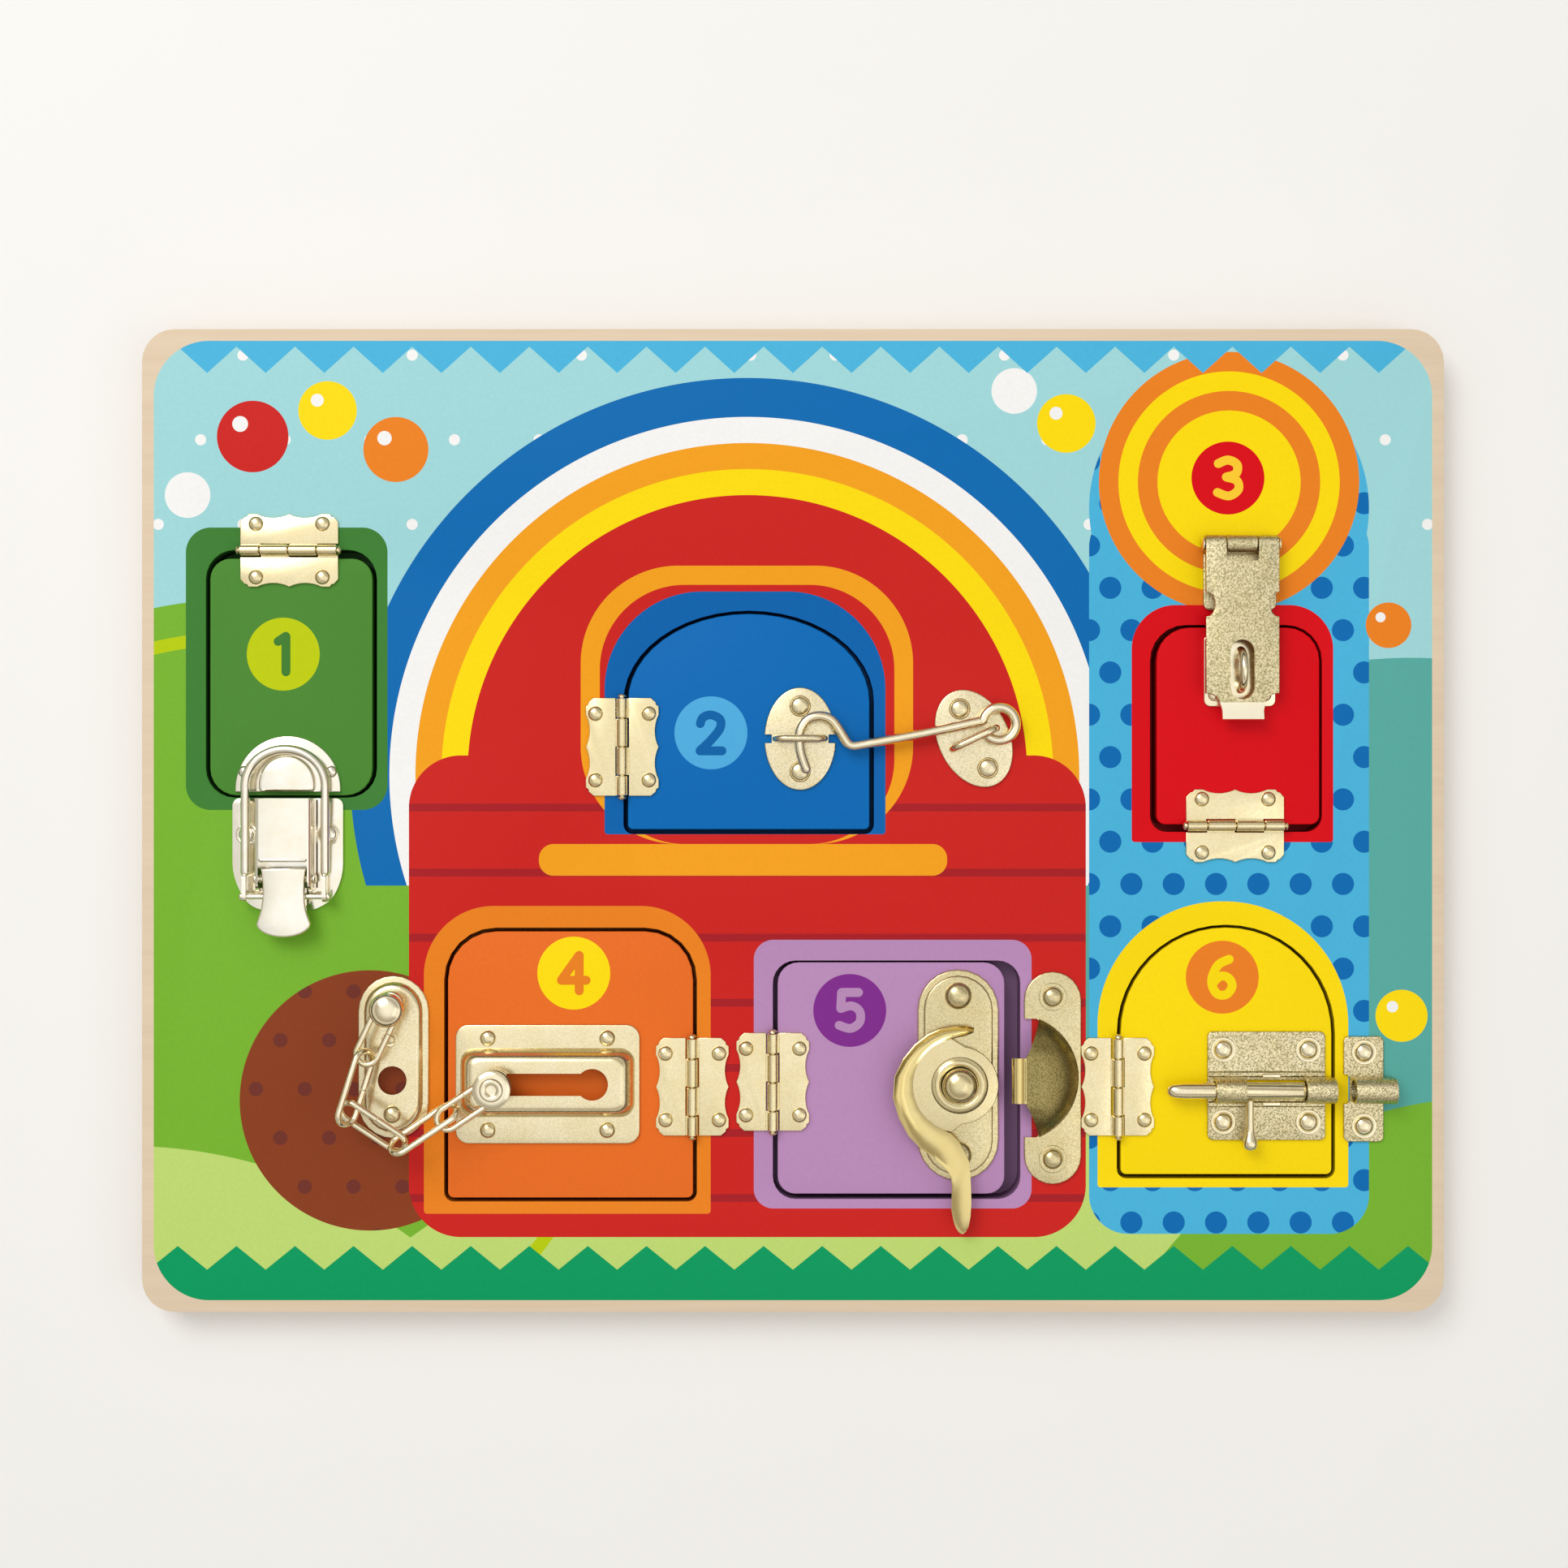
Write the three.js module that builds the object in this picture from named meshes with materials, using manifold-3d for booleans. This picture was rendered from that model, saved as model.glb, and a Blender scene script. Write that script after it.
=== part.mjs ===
// Latch board: a printed plywood board with six small doors, each held by a different latch
import * as THREE from 'three';
import { mergeVertices } from 'three/addons/utils/BufferGeometryUtils.js';
import Module from 'manifold-3d';

const wasm = await Module();
wasm.setup();

// Driving sizes in millimetres, heights above the board's face unless said otherwise
const overrun = 4;
const seat = 0.3;
const board = { long: 400, tall: 302, corner: 10, backThick: 3, frontThick: 9 };
const faceHeight = board.backThick + board.frontThick;

// Each doorway is an opening in the front panel, its door stands back from it on each side
const doorOne = { left: -180.4, right: -127.8, low: 7.0, high: 83.2, lowCorner: 9, highCorner: 9,
  leftGap: 1.3, rightGap: 1.4, lowGap: 0.7, highGap: 2.7 };
const doorTwo = { left: -52.1, right: 24.9, low: -4.2, high: 64.5, lowCorner: 3, arch: 28,
  leftGap: 1.4, rightGap: 1.4, lowGap: 1.5, highGap: 1.0 };
const doorThree = { left: 109.7, right: 162.6, low: -3.5, high: 60.1, lowCorner: 5, highCorner: 11,
  leftGap: 2.0, rightGap: 0.8, lowGap: 2.3, highGap: 0.8 };
const doorFour = { left: -107.2, right: -29.5, low: -117.1, high: -32.9, lowCorner: 3, highCorner: 16,
  leftGap: 1.2, rightGap: 1.2, lowGap: 1.2, highGap: 1.2 };
const doorFive = { left: -6.2, right: 69.9, low: -116.3, high: -43.0, lowCorner: 7, highCorner: 7,
  leftGap: 1.5, rightGap: 4.9, lowGap: 1.6, highGap: 0.6 };
const doorSix = { left: 99.5, right: 166.6, low: -110.0, high: -32.0, lowCorner: 3, arch: 33.5,
  leftGap: 1.2, rightGap: 1.1, lowGap: 1.3, highGap: 0.9 };
const doorways = [doorOne, doorTwo, doorThree, doorFour, doorFive, doorSix];

// Butt hinges: where each pin crosses, and the turn that brings the door leaf over its door
const hinge = {
  long: 30.1, reach: 11.2, thick: 0.9, clear: 2.0, axisHeight: 1.8, barrel: 1.62, bore: 1.1,
  pin: 0.7, pinHead: 1.35, pinHeadLong: 0.9, knuckleGap: 0.3, endKnuckle: 6.3, wrap: 0.7,
  corner: 1.6, notch: 0.7, scallop: 1.5, tab: 3.6,
  rivetAlong: 10.2, rivetAcross: 8.2, rivet: 2.4, rivetTall: 1.3,
};
const hingePlaces = [
  { x: -154.6, y: 82.9, turns: -1 },
  { x: -52.4, y: 22.6, turns: 0 },
  { x: 135.7, y: -1.6, turns: 1 },
  { x: -30.9, y: -81.7, turns: 2 },
  { x: -6.2, y: -80.2, turns: 0 },
  { x: 99.7, y: -81.7, turns: 0 },
];

// Latch of door 1: a toggle whose bail hooks over a catch on the door
const toggle = {
  middle: -155.0,
  base: { wide: 33.9, high: 6.8, low: -27.9, thick: 1.0, taper: 7.5 },
  rivet: 2.8, rivetTall: 1.4, rivetSide: 12.6, rivetAt: -4.2,
  channel: { wide: 17.0, top: 8.5, low: -11.6, round: 3.9, wall: 1.0, floorHalf: 3.0 },
  pivotAt: -17.7, pivotHeight: 4.6, leverPin: 1.0, leverPinHead: 1.6, headThick: 0.7,
  lever: { top: 7.4, wall: 1.0, foot: 2.4, rootAt: -14.3, waist: 6.4, flare: 8.35, flareAt: -30.4,
    endAt: -35.5, sideLow: -27.0 },
  bail: { wire: 1.3, side: 12.2, top: 21.9, at: -23.1, pin: 0.85, pinHead: 1.4, eye: 1.95, eyeThick: 1.3,
    bend: 11 },
};
const catchPlate = {
  half: 16.15, low: 8.8, thick: 1.0, rivet: 1.9, rivetTall: 1.3, rivetSide: 13.3, rivetAt: 15.0,
  boss: 8.6, bossHigh: 20.0, bossTop: 3.0,
};

// Latch of door 2: a hook that lies under an eye on the door and hangs on an eye on the board
const eye = {
  wide: 22.0, tall: 31.6, thick: 1.0, rivet: 3.0, rivetTall: 1.3, rivetAt: 10.05,
  slot: 2.7, strap: 1.0, span: 17.0, rise: 8.4, bend: 3.4, foot: 0.6, bridge: 1.2,
};
const eyePlaces = { door: { x: 2.2, y: 25.1 }, board: { x: 55.5, y: 25.2, lean: 25.5 } };
const hook = { wire: 1.5, ring: 5.1, height: 4.1, ringX: 63.0, ringY: 29.6, openFrom: 180, openTo: 228 };
// The hook's wire from the ring to its tip, as places on the board
const hookRun = [[55.6, 28.9], [38.0, 26.2], [20.0, 22.9], [15.6, 25.4], [12.0, 30.4], [6.8, 32.0],
  [3.0, 28.9], [2.2, 24.6], [3.4, 19.6], [4.4, 15.6]];

// Latch of door 3: a hasp whose slot drops over a staple
const hasp = {
  middle: 137.1, pinAt: 84.7, axisHeight: 2.9, barrel: 2.7, bore: 1.35, pin: 1.1, head: 2.2,
  headLong: 0.8, half: 11.2, knuckle: 6.4, gap: 0.3,
  base: { thick: 1.2, low: 64.6, corner: 2 },
  strap: { under: 4.4, thick: 1.2, low: 29.0, notch: 3.6, notchIn: 2.8, notchAt: 66.0, slotHalf: 3.75,
    slotLong: 18.3, slotAt: 46.2, taperAt: 37.5, tongue: 6.2, lip: 5.0, lipRise: 3.2, windowLow: 79.3 },
  plate: { half: 11.0, high: 57.2, low: 35.0, thick: 1.0, corner: 2 },
  staple: { wire: 1.1, leg: 6.0, top: 9.0 },
  rivet: 2.0, rivetTall: 1.0, rivetSide: 7.8, rivetIn: 3.6,
};

// Latch of door 4: a chain from a knob on the board to a slider in a track on the door
const anchor = {
  x: -122.6, high: -47.6, low: -97.6, half: 10.85, thick: 1.0, rim: 2.6, raised: 3.0,
  knobAt: -57.0, neck: 1.9, knob: 5.25, knobBase: 4.2, knobShoulder: 4.3, knobCrown: 2.1,
  knobUnder: 11.6, knobEdge: 1.0, knobTop: 15.2, foot: 3.0, footTall: 1.2,
  parkAt: -79.5, park: 4.4, rivetAt: -89.9, rivet: 2.75, rivetTall: 1.7,
};
const track = {
  left: -103.6, right: -47.0, high: -62.6, low: -99.2, corner: 4, thick: 1.0,
  rivet: 2.5, rivetTall: 1.5, rivetInX: 10.0, rivetInY: 4.2,
  box: { x: -75.3, y: -80.4, long: 53.4, tall: 21.0, topLong: 42.0, topTall: 12.5, top: 6.0,
    baseCorner: 4.5, topCorner: 2.5, wall: 1.0 },
  slot: 3.4, slotEnd: -93.4, keyhole: 4.85, keyholeAt: -61.2,
};
const slider = {
  x: -90.9, y: -81.0, foot: 3.9, footThick: 1.2, neck: 1.9, collar: 3.9, collarThick: 1.0, head: 5.75,
  headUnder: 12.3, headTall: 1.9, eyelet: 3.5, eyeletTall: 0.6, hole: 1.6, holeDeep: 1.8,
};
const chain = { wire: 0.95, bend: 3.35, half: 8.1, seam: 0.3 };
// Each link's place, heading, pitch and roll as the chain lies slack across the plates
const links = [
  { x: -125.45, y: -63.01, height: 10.23, heading: -115.3, pitch: 0, roll: 0 },
  { x: -132.24, y: -80.62, height: 11.60, heading: -106.5, pitch: 7.7, roll: -49.3 },
  { x: -127.08, y: -92.49, height: 10.61, heading: -33.0, pitch: 1.5, roll: 29.4 },
  { x: -111.65, y: -93.04, height: 11.21, heading: 33.4, pitch: -9.6, roll: -48.8 },
  { x: -97.65, y: -85.48, height: 10.74, heading: 33.6, pitch: 0, roll: 0 },
];

// Latch of door 5: a cam that turns under a keeper on the board
const cam = {
  x: 50.9, y: -80.8,
  plate: { x: 50.7, y: -78.1, half: 12.45, tall: 64.8, thick: 1.0, rim: 2.0, raised: 1.8 },
  rivet: 4.15, rivetTall: 2.4, rivetAt: -53.7,
  hub: 6.0, hubTop: 3.0, post: 2.6, disc: 11.7, discUnder: 3.3, discThick: 1.2, boss: 7.8, bossTall: 1.0,
  bore: 2.9, head: 5.5, headTall: 3.2, flange: 21.3, flangeRise: 1.1,
  flangeFrom: 76, flangeStep: 25,
  handleWide: 5.9, handleReach: 46.0, handleThick: 1.6,
};
const keeper = {
  x: 79.7, y: -79.0, half: 8.75, tall: 65.3, thick: 1.0, rivet: 3.05, ring: 4.3, rivetTall: 1.7,
  rivetHigh: -54.1, rivetLow: -103.9, recess: 36.4, recessIn: 4.6, top: 8.4, wall: 1.0,
  lip: 66.6, lipTall: 14.2, rise: 78.6,
};

// Latch of door 6: a barrel bolt in two guides, and its keeper on the board
const bolt = {
  axisY: -82.4, axisHeight: 4.9, bar: 2.65, running: 0.35, loose: 0.65, tipAt: 114.1, tipLong: 4.0, tip: 1.5,
  endAt: 163.5, travel: 15.5, stem: 1.1, stemAt: 139.4, ball: 2.5, ballAt: -98.2,
};
const boltPlate = {
  left: 127.2, right: 163.4, high: -64.7, low: -98.1, corner: 1.7, thick: 1.0,
  guide: 3.9, firstLeft: 128.7, firstRight: 137.9, lastRight: 165.4, windowHalf: 3.9,
  rivet: 2.9, ring: 3.9, rivetTall: 1.6, rivetLeft: 132.0, rivetRight: 158.1, rivetIn: 5.6,
};
const boltKeeper = {
  left: 169.0, right: 181.3, half: 16.2, loopLeft: 171.1, loopRight: 183.8, rivetX: 175.2, rivetIn: 4.9,
};

// Solids from geometries, and back
const solid = (geometry) => {
  const bare = geometry.index ? geometry.toNonIndexed() : geometry.clone();
  bare.deleteAttribute('normal');
  bare.deleteAttribute('uv');
  const merged = mergeVertices(bare);
  return new wasm.Manifold(new wasm.Mesh({
    numProp: 3,
    vertProperties: Float32Array.from(merged.attributes.position.array),
    triVerts: Uint32Array.from(merged.index.array),
  }));
};
const geometryOf = (shape) => {
  const mesh = shape.getMesh();
  const geometry = new THREE.BufferGeometry();
  geometry.setAttribute('position', new THREE.BufferAttribute(Float32Array.from(mesh.vertProperties), 3));
  geometry.setIndex(new THREE.BufferAttribute(Uint32Array.from(mesh.triVerts), 1));
  return geometry;
};
const join = (...shapes) => shapes.reduce((whole, shape) => whole.add(shape));
const cut = (shape, ...tools) => tools.reduce((whole, tool) => whole.subtract(tool), shape);

// Flat outlines
const rectangle = (left, right, low, high, lowCorner = 0, highCorner = lowCorner) => {
  const shape = new THREE.Shape();
  shape.moveTo(left + lowCorner, low);
  shape.lineTo(right - lowCorner, low);
  if (lowCorner) shape.absarc(right - lowCorner, low + lowCorner, lowCorner, -Math.PI / 2, 0);
  shape.lineTo(right, high - highCorner);
  if (highCorner) shape.absarc(right - highCorner, high - highCorner, highCorner, 0, Math.PI / 2);
  shape.lineTo(left + highCorner, high);
  if (highCorner) shape.absarc(left + highCorner, high - highCorner, highCorner, Math.PI / 2, Math.PI);
  shape.lineTo(left, low + lowCorner);
  if (lowCorner) shape.absarc(left + lowCorner, low + lowCorner, lowCorner, Math.PI, 1.5 * Math.PI);
  return shape;
};
const arched = (left, right, low, high, lowCorner, arch) => {
  const shape = new THREE.Shape();
  shape.moveTo(left + lowCorner, low);
  shape.lineTo(right - lowCorner, low);
  shape.absarc(right - lowCorner, low + lowCorner, lowCorner, -Math.PI / 2, 0);
  shape.lineTo(right, high - arch);
  for (const start of [0, 1, 2, 3]) {
    const angle = (start * Math.PI) / 4;
    shape.absellipse((left + right) / 2, high - arch, (right - left) / 2, arch, angle, angle + Math.PI / 4);
  }
  shape.lineTo(left, low + lowCorner);
  shape.absarc(left + lowCorner, low + lowCorner, lowCorner, Math.PI, 1.5 * Math.PI);
  return shape;
};
const disc = (x, y, radius) => {
  const shape = new THREE.Shape();
  shape.absarc(x, y, radius, 0, 2 * Math.PI);
  return shape;
};
const obround = (x, low, high, half) => rectangle(x - half, x + half, low, high, half);
const polygon = (points) => new THREE.Shape(points.map(([x, y]) => new THREE.Vector2(x, y)));

// Solids of one thickness, turned solids, and wire
const slab = (shape, under, top, curveSegments = 2) => {
  const depth = top - under;
  const geometry = new THREE.ExtrudeGeometry(shape, { depth, bevelEnabled: false, curveSegments });
  return solid(geometry.translate(0, 0, under));
};
const turned = (profile, sides) => {
  const geometry = new THREE.LatheGeometry(profile.map(([r, h]) => new THREE.Vector2(r, h)), sides);
  return solid(geometry.rotateX(Math.PI / 2));
};
const moved = (shape, x, y, z = 0) => shape.translate([x, y, z]);
const rod = (radius, under, top, sides = 12) => turned(
  [[0, under], [radius, under], [radius, top], [0, top]],
  sides,
);
const alongX = (shape) => shape.rotate([0, 90, 0]);
const alongY = (shape) => shape.rotate([-90, 0, 0]);
const dome = (radius, tall, under = 0, sides = 8) => {
  const bulge = [30, 62].map((angle) => THREE.MathUtils.degToRad(angle));
  const round = bulge.map((angle) => [radius * Math.cos(angle), under + tall * Math.sin(angle)]);
  return turned([[0, under], [radius, under], ...round, [0, under + tall]], sides);
};
const riveted = (plate, thick, radius, tall, x, y, sides = 8) => join(
  plate,
  moved(dome(radius, tall + thick / 2, thick / 2, sides), x, y),
);
const wire = (path, radius, steps, sides = 6) => {
  const section = new THREE.Shape();
  for (let i = 0; i < sides; i += 1) {
    const angle = (2 * Math.PI * i) / sides;
    const point = [radius * Math.cos(angle), radius * Math.sin(angle)];
    if (i) section.lineTo(...point);
    else section.moveTo(...point);
  }
  return solid(new THREE.ExtrudeGeometry(section, { extrudePath: path, steps, bevelEnabled: false }));
};
const vectors = (points) => points.map((point) => new THREE.Vector3(...point));
const route = (points) => new THREE.CatmullRomCurve3(vectors(points), false, 'centripetal');
const polyline = (points) => {
  const path = new THREE.CurvePath();
  const stops = vectors(points);
  stops.slice(1).forEach((stop, i) => path.add(new THREE.LineCurve3(stops[i], stop)));
  return path;
};

// A hollow ring of round wire, open at a butt seam half way along one leg
const linkCurve = (half, bend, seam) => {
  const bendPoints = (x, start) => [0, 1, 2, 3, 4, 5, 6].map((i) => {
    const angle = start + (Math.PI * i) / 6;
    return [x + bend * Math.cos(angle), bend * Math.sin(angle), 0];
  });
  return polyline([[-seam / 2, bend, 0], ...bendPoints(-half, Math.PI / 2),
    ...bendPoints(half, -Math.PI / 2), [seam / 2, bend, 0]]);
};

const group = new THREE.Group();
const brass = { color: 0xd9c48c, roughness: 0.28, metalness: 1.0 };
const place = (name, shape, look, x = 0, y = 0, z = 0, turn = 0) => {
  const mesh = new THREE.Mesh(geometryOf(shape), new THREE.MeshStandardMaterial(look));
  mesh.name = name;
  mesh.position.set(x, y, z);
  mesh.rotation.z = turn;
  group.add(mesh);
  return mesh;
};

// Back panel and front panel
const [boardX, boardY] = [board.long / 2, board.tall / 2];
const outline = () => rectangle(-boardX, boardX, -boardY, boardY, board.corner);
place('back_panel', slab(outline(), 0, board.backThick), { color: 0xe6d2b0, roughness: 0.8, metalness: 0 });
const frontOutline = outline();
for (const way of doorways) {
  frontOutline.holes.push(way.arch
    ? arched(way.left, way.right, way.low, way.high, way.lowCorner, way.arch)
    : rectangle(way.left, way.right, way.low, way.high, way.lowCorner, way.highCorner));
}
place('front_panel', slab(frontOutline, board.backThick, faceHeight, 3),
  { color: 0xcf2a20, roughness: 0.45, metalness: 0 });

// Doors
const doorColours = [0x4f9a36, 0x0a66b4, 0xd0131c, 0xee7326, 0xba8cc0, 0xffe100];
doorways.forEach((way, i) => {
  const [left, right] = [way.left + way.leftGap, way.right - way.rightGap];
  const [low, high] = [way.low + way.lowGap, way.high - way.highGap];
  const corner = Math.max(way.lowCorner - way.lowGap, way.lowCorner / 2);
  const shape = way.arch
    ? arched(left, right, low, high, corner, way.arch - way.highGap)
    : rectangle(left, right, low, high, corner, way.highCorner - way.highGap);
  place(`door_${i + 1}`, slab(shape, board.backThick + seat, faceHeight, 3),
    { color: doorColours[i], roughness: 0.4, metalness: 0 });
});

// Butt hinge: leaf, its two knuckles and rivets, with the pin along Y and the leaf towards +X
const knuckleEnds = () => {
  const half = hinge.long / 2;
  const inner = (hinge.long - 2 * hinge.endKnuckle) / 2;
  return [[-half, hinge.endKnuckle - half], [hinge.endKnuckle - half, hinge.endKnuckle - half + inner],
    [hinge.endKnuckle - half + inner, half - hinge.endKnuckle], [half - hinge.endKnuckle, half]];
};
const hingeLeaf = (first) => {
  const half = hinge.long / 2;
  const edge = hinge.reach - hinge.notch;
  const shape = new THREE.Shape();
  shape.moveTo(hinge.clear, -half);
  shape.lineTo(edge - hinge.corner, -half);
  shape.lineTo(edge, hinge.corner - half);
  shape.lineTo(hinge.reach, hinge.corner + hinge.notch - half);
  shape.lineTo(hinge.reach, hinge.tab + hinge.corner - half);
  const bite = hinge.reach - 2 * hinge.scallop;
  const quarter = (half - hinge.tab - hinge.corner) / 2;
  shape.quadraticCurveTo(bite, -quarter, hinge.reach, 0);
  shape.quadraticCurveTo(bite, quarter, hinge.reach, half - hinge.tab - hinge.corner);
  shape.lineTo(hinge.reach, half - hinge.corner - hinge.notch);
  shape.lineTo(edge, half - hinge.corner);
  shape.lineTo(edge - hinge.corner, half);
  shape.lineTo(hinge.clear, half);
  let leaf = slab(shape, 0, hinge.thick, 3);
  const ends = knuckleEnds();
  for (const i of [first, first + 2]) {
    const [low, high] = [ends[i][0] + hinge.knuckleGap / 2, ends[i][1] - hinge.knuckleGap / 2];
    const neck = slab(rectangle(hinge.wrap, hinge.clear + hinge.wrap, low, high), 0, hinge.thick);
    const barrel = moved(alongY(rod(hinge.barrel, low, high, 10)), 0, 0, hinge.axisHeight);
    leaf = join(leaf, neck, barrel);
  }
  const bore = alongY(rod(hinge.bore, -half - overrun, half + overrun, 6));
  leaf = cut(leaf, moved(bore, 0, 0, hinge.axisHeight));
  for (const y of [-hinge.rivetAlong, hinge.rivetAlong]) {
    leaf = riveted(leaf, hinge.thick, hinge.rivet, hinge.rivetTall, hinge.rivetAcross, y);
  }
  return leaf;
};
const hingePin = () => {
  const half = hinge.long / 2;
  const out = half + hinge.knuckleGap;
  const end = out + hinge.pinHeadLong;
  return alongY(turned([[0, -end], [hinge.pin, -end], [hinge.pinHead, -out], [hinge.pin, -out],
    [hinge.pin, out], [hinge.pinHead, out], [hinge.pin, end], [0, end]], 8));
};
hingePlaces.forEach((spot, i) => {
  const turn = (spot.turns * Math.PI) / 2;
  place(`hinge_${i + 1}_door_leaf`, hingeLeaf(1), brass, spot.x, spot.y, faceHeight, turn);
  place(`hinge_${i + 1}_fixed_leaf`, hingeLeaf(1), brass, spot.x, spot.y, faceHeight, turn + Math.PI);
  place(`hinge_${i + 1}_pin`, hingePin(), brass, spot.x, spot.y, faceHeight + hinge.axisHeight, turn);
});

// Toggle base: tapered plate, raised channel with cheeks, and its rivets
const toggleBase = () => {
  const { base, channel } = toggle;
  const half = base.wide / 2;
  const taperAt = base.low + base.taper;
  const plate = slab(polygon([[-half, base.high], [-half, taperAt], [base.taper - half, base.low],
    [half - base.taper, base.low], [half, taperAt], [half, base.high]]), 0, base.thick);
  const side = channel.wide / 2;
  const inner = side - channel.wall;
  const cheekEnd = toggle.pivotAt - channel.round;
  const cheek = join(
    slab(rectangle(-side, side, toggle.pivotAt, base.high), 0, channel.top),
    slab(rectangle(-side, side, cheekEnd, base.high), 0, toggle.pivotHeight),
    moved(alongX(rod(channel.round, -side, side, 16)), 0, toggle.pivotAt, toggle.pivotHeight),
  );
  const hollow = slab(rectangle(-inner, inner, cheekEnd - overrun, base.high + overrun),
    base.thick, channel.top - channel.wall);
  const front = slab(rectangle(-inner, inner, cheekEnd - overrun, channel.low), base.thick,
    channel.top + overrun);
  const floor = slab(rectangle(-inner, inner, toggle.pivotAt - channel.floorHalf,
    toggle.pivotAt + channel.floorHalf), -overrun, base.thick + overrun);
  const pivot = moved(alongX(rod(toggle.leverPin + seat, -base.wide, base.wide, 8)), 0, toggle.pivotAt,
    toggle.pivotHeight);
  let whole = join(plate, cut(cheek, hollow, front));
  for (const x of [-toggle.rivetSide, toggle.rivetSide]) {
    whole = riveted(whole, base.thick, toggle.rivet, toggle.rivetTall, x, toggle.rivetAt);
  }
  return cut(whole, pivot, floor);
};
place('toggle_base', toggleBase(), brass, toggle.middle, 0, faceHeight);

// Toggle lever: a pressed tongue with turned-down sides that hold both pins
const toggleLever = () => {
  const { lever } = toggle;
  const root = toggle.channel.wide / 2 - toggle.channel.wall - seat;
  const shape = new THREE.Shape();
  shape.moveTo(-root, lever.rootAt);
  shape.lineTo(-root, toggle.bail.at);
  shape.quadraticCurveTo(-lever.waist, lever.sideLow, -lever.flare, lever.flareAt);
  shape.absellipse(0, lever.flareAt, lever.flare, lever.flareAt - lever.endAt, Math.PI, 2 * Math.PI);
  shape.quadraticCurveTo(lever.waist, lever.sideLow, root, toggle.bail.at);
  shape.lineTo(root, lever.rootAt);
  const top = slab(shape, lever.top - lever.wall, lever.top, 5);
  const wall = (x) => slab(rectangle(x, x + lever.wall, lever.sideLow, lever.rootAt, lever.wall / 3),
    lever.foot, lever.top - lever.wall / 2);
  const bore = (radius, y) => moved(alongX(rod(radius + seat, -root - overrun, root + overrun, 8)), 0, y,
    toggle.pivotHeight);
  const whole = join(top, wall(-root), wall(root - lever.wall));
  return cut(whole, bore(toggle.leverPin, toggle.pivotAt), bore(toggle.bail.pin, toggle.bail.at));
};
place('toggle_lever', toggleLever(), brass, toggle.middle, 0, faceHeight);
const headedPin = (radius, head, half, headThick, sides = 10) => {
  const end = half + headThick;
  return alongX(turned([[0, -end], [head, -end], [head, -half], [radius, -half],
    [radius, half], [head, half], [head, end], [0, end]], sides));
};
place('toggle_lever_pin', headedPin(toggle.leverPin, toggle.leverPinHead, toggle.channel.wide / 2 + seat,
  toggle.headThick), brass, toggle.middle, toggle.pivotAt, faceHeight + toggle.pivotHeight);
const bailPinHalf = toggle.bail.side + toggle.bail.eyeThick / 2 + seat;
place('toggle_bail_pin', headedPin(toggle.bail.pin, toggle.bail.pinHead, bailPinHalf, toggle.headThick),
  brass, toggle.middle, toggle.bail.at, faceHeight + toggle.pivotHeight);

// Bail: round wire bent to a U, with flattened eyes on the pin
const toggleBail = () => {
  const { bail } = toggle;
  const start = bail.at + bail.eye;
  const turnAt = bail.top - bail.bend;
  const bends = [0, 1, 2, 3, 4].map((i) => THREE.MathUtils.degToRad(22.5 * i));
  const left = bends.map((angle) => [-bail.side + bail.bend * (1 - Math.cos(angle)),
    turnAt + bail.bend * Math.sin(angle), 0]);
  const right = left.map(([x, y, z]) => [-x, y, z]).reverse();
  const points = [[-bail.side, start, 0], ...left, ...right, [bail.side, start, 0]];
  let whole = wire(polyline(points), bail.wire, 26);
  for (const x of [-bail.side, bail.side]) {
    const eyeShape = moved(alongX(rod(bail.eye, -bail.eyeThick / 2, bail.eyeThick / 2, 12)), x, bail.at);
    const strip = moved(solid(new THREE.BoxGeometry(bail.eyeThick, 3 * bail.eye, 2 * bail.wire)), x,
      bail.at + 1.5 * bail.eye);
    whole = join(whole, strip, eyeShape);
  }
  const bore = alongX(rod(bail.pin + seat, -bail.side - overrun, bail.side + overrun, 8));
  return cut(whole, moved(bore, 0, bail.at));
};
place('toggle_bail', toggleBail(), brass, toggle.middle, 0, faceHeight + toggle.pivotHeight);

// Catch plate with its raised boss, on door 1
const catchShape = () => {
  const part = catchPlate;
  const shape = new THREE.Shape();
  shape.moveTo(-part.half, part.low);
  shape.lineTo(part.half, part.low);
  shape.absarc(0, part.low + part.thick, part.half, 0, Math.PI);
  const boss = new THREE.Shape();
  boss.moveTo(-part.boss, part.low);
  boss.lineTo(part.boss, part.low);
  boss.absarc(0, part.bossHigh - part.boss, part.boss, 0, Math.PI);
  let whole = join(slab(shape, 0, part.thick, 6), slab(boss, part.thick / 2, part.bossTop, 4));
  for (const x of [-part.rivetSide, part.rivetSide]) {
    whole = riveted(whole, part.thick, part.rivet, part.rivetTall, x, part.rivetAt);
  }
  return whole;
};
place('catch_plate', catchShape(), brass, toggle.middle, 0, faceHeight);

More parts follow.
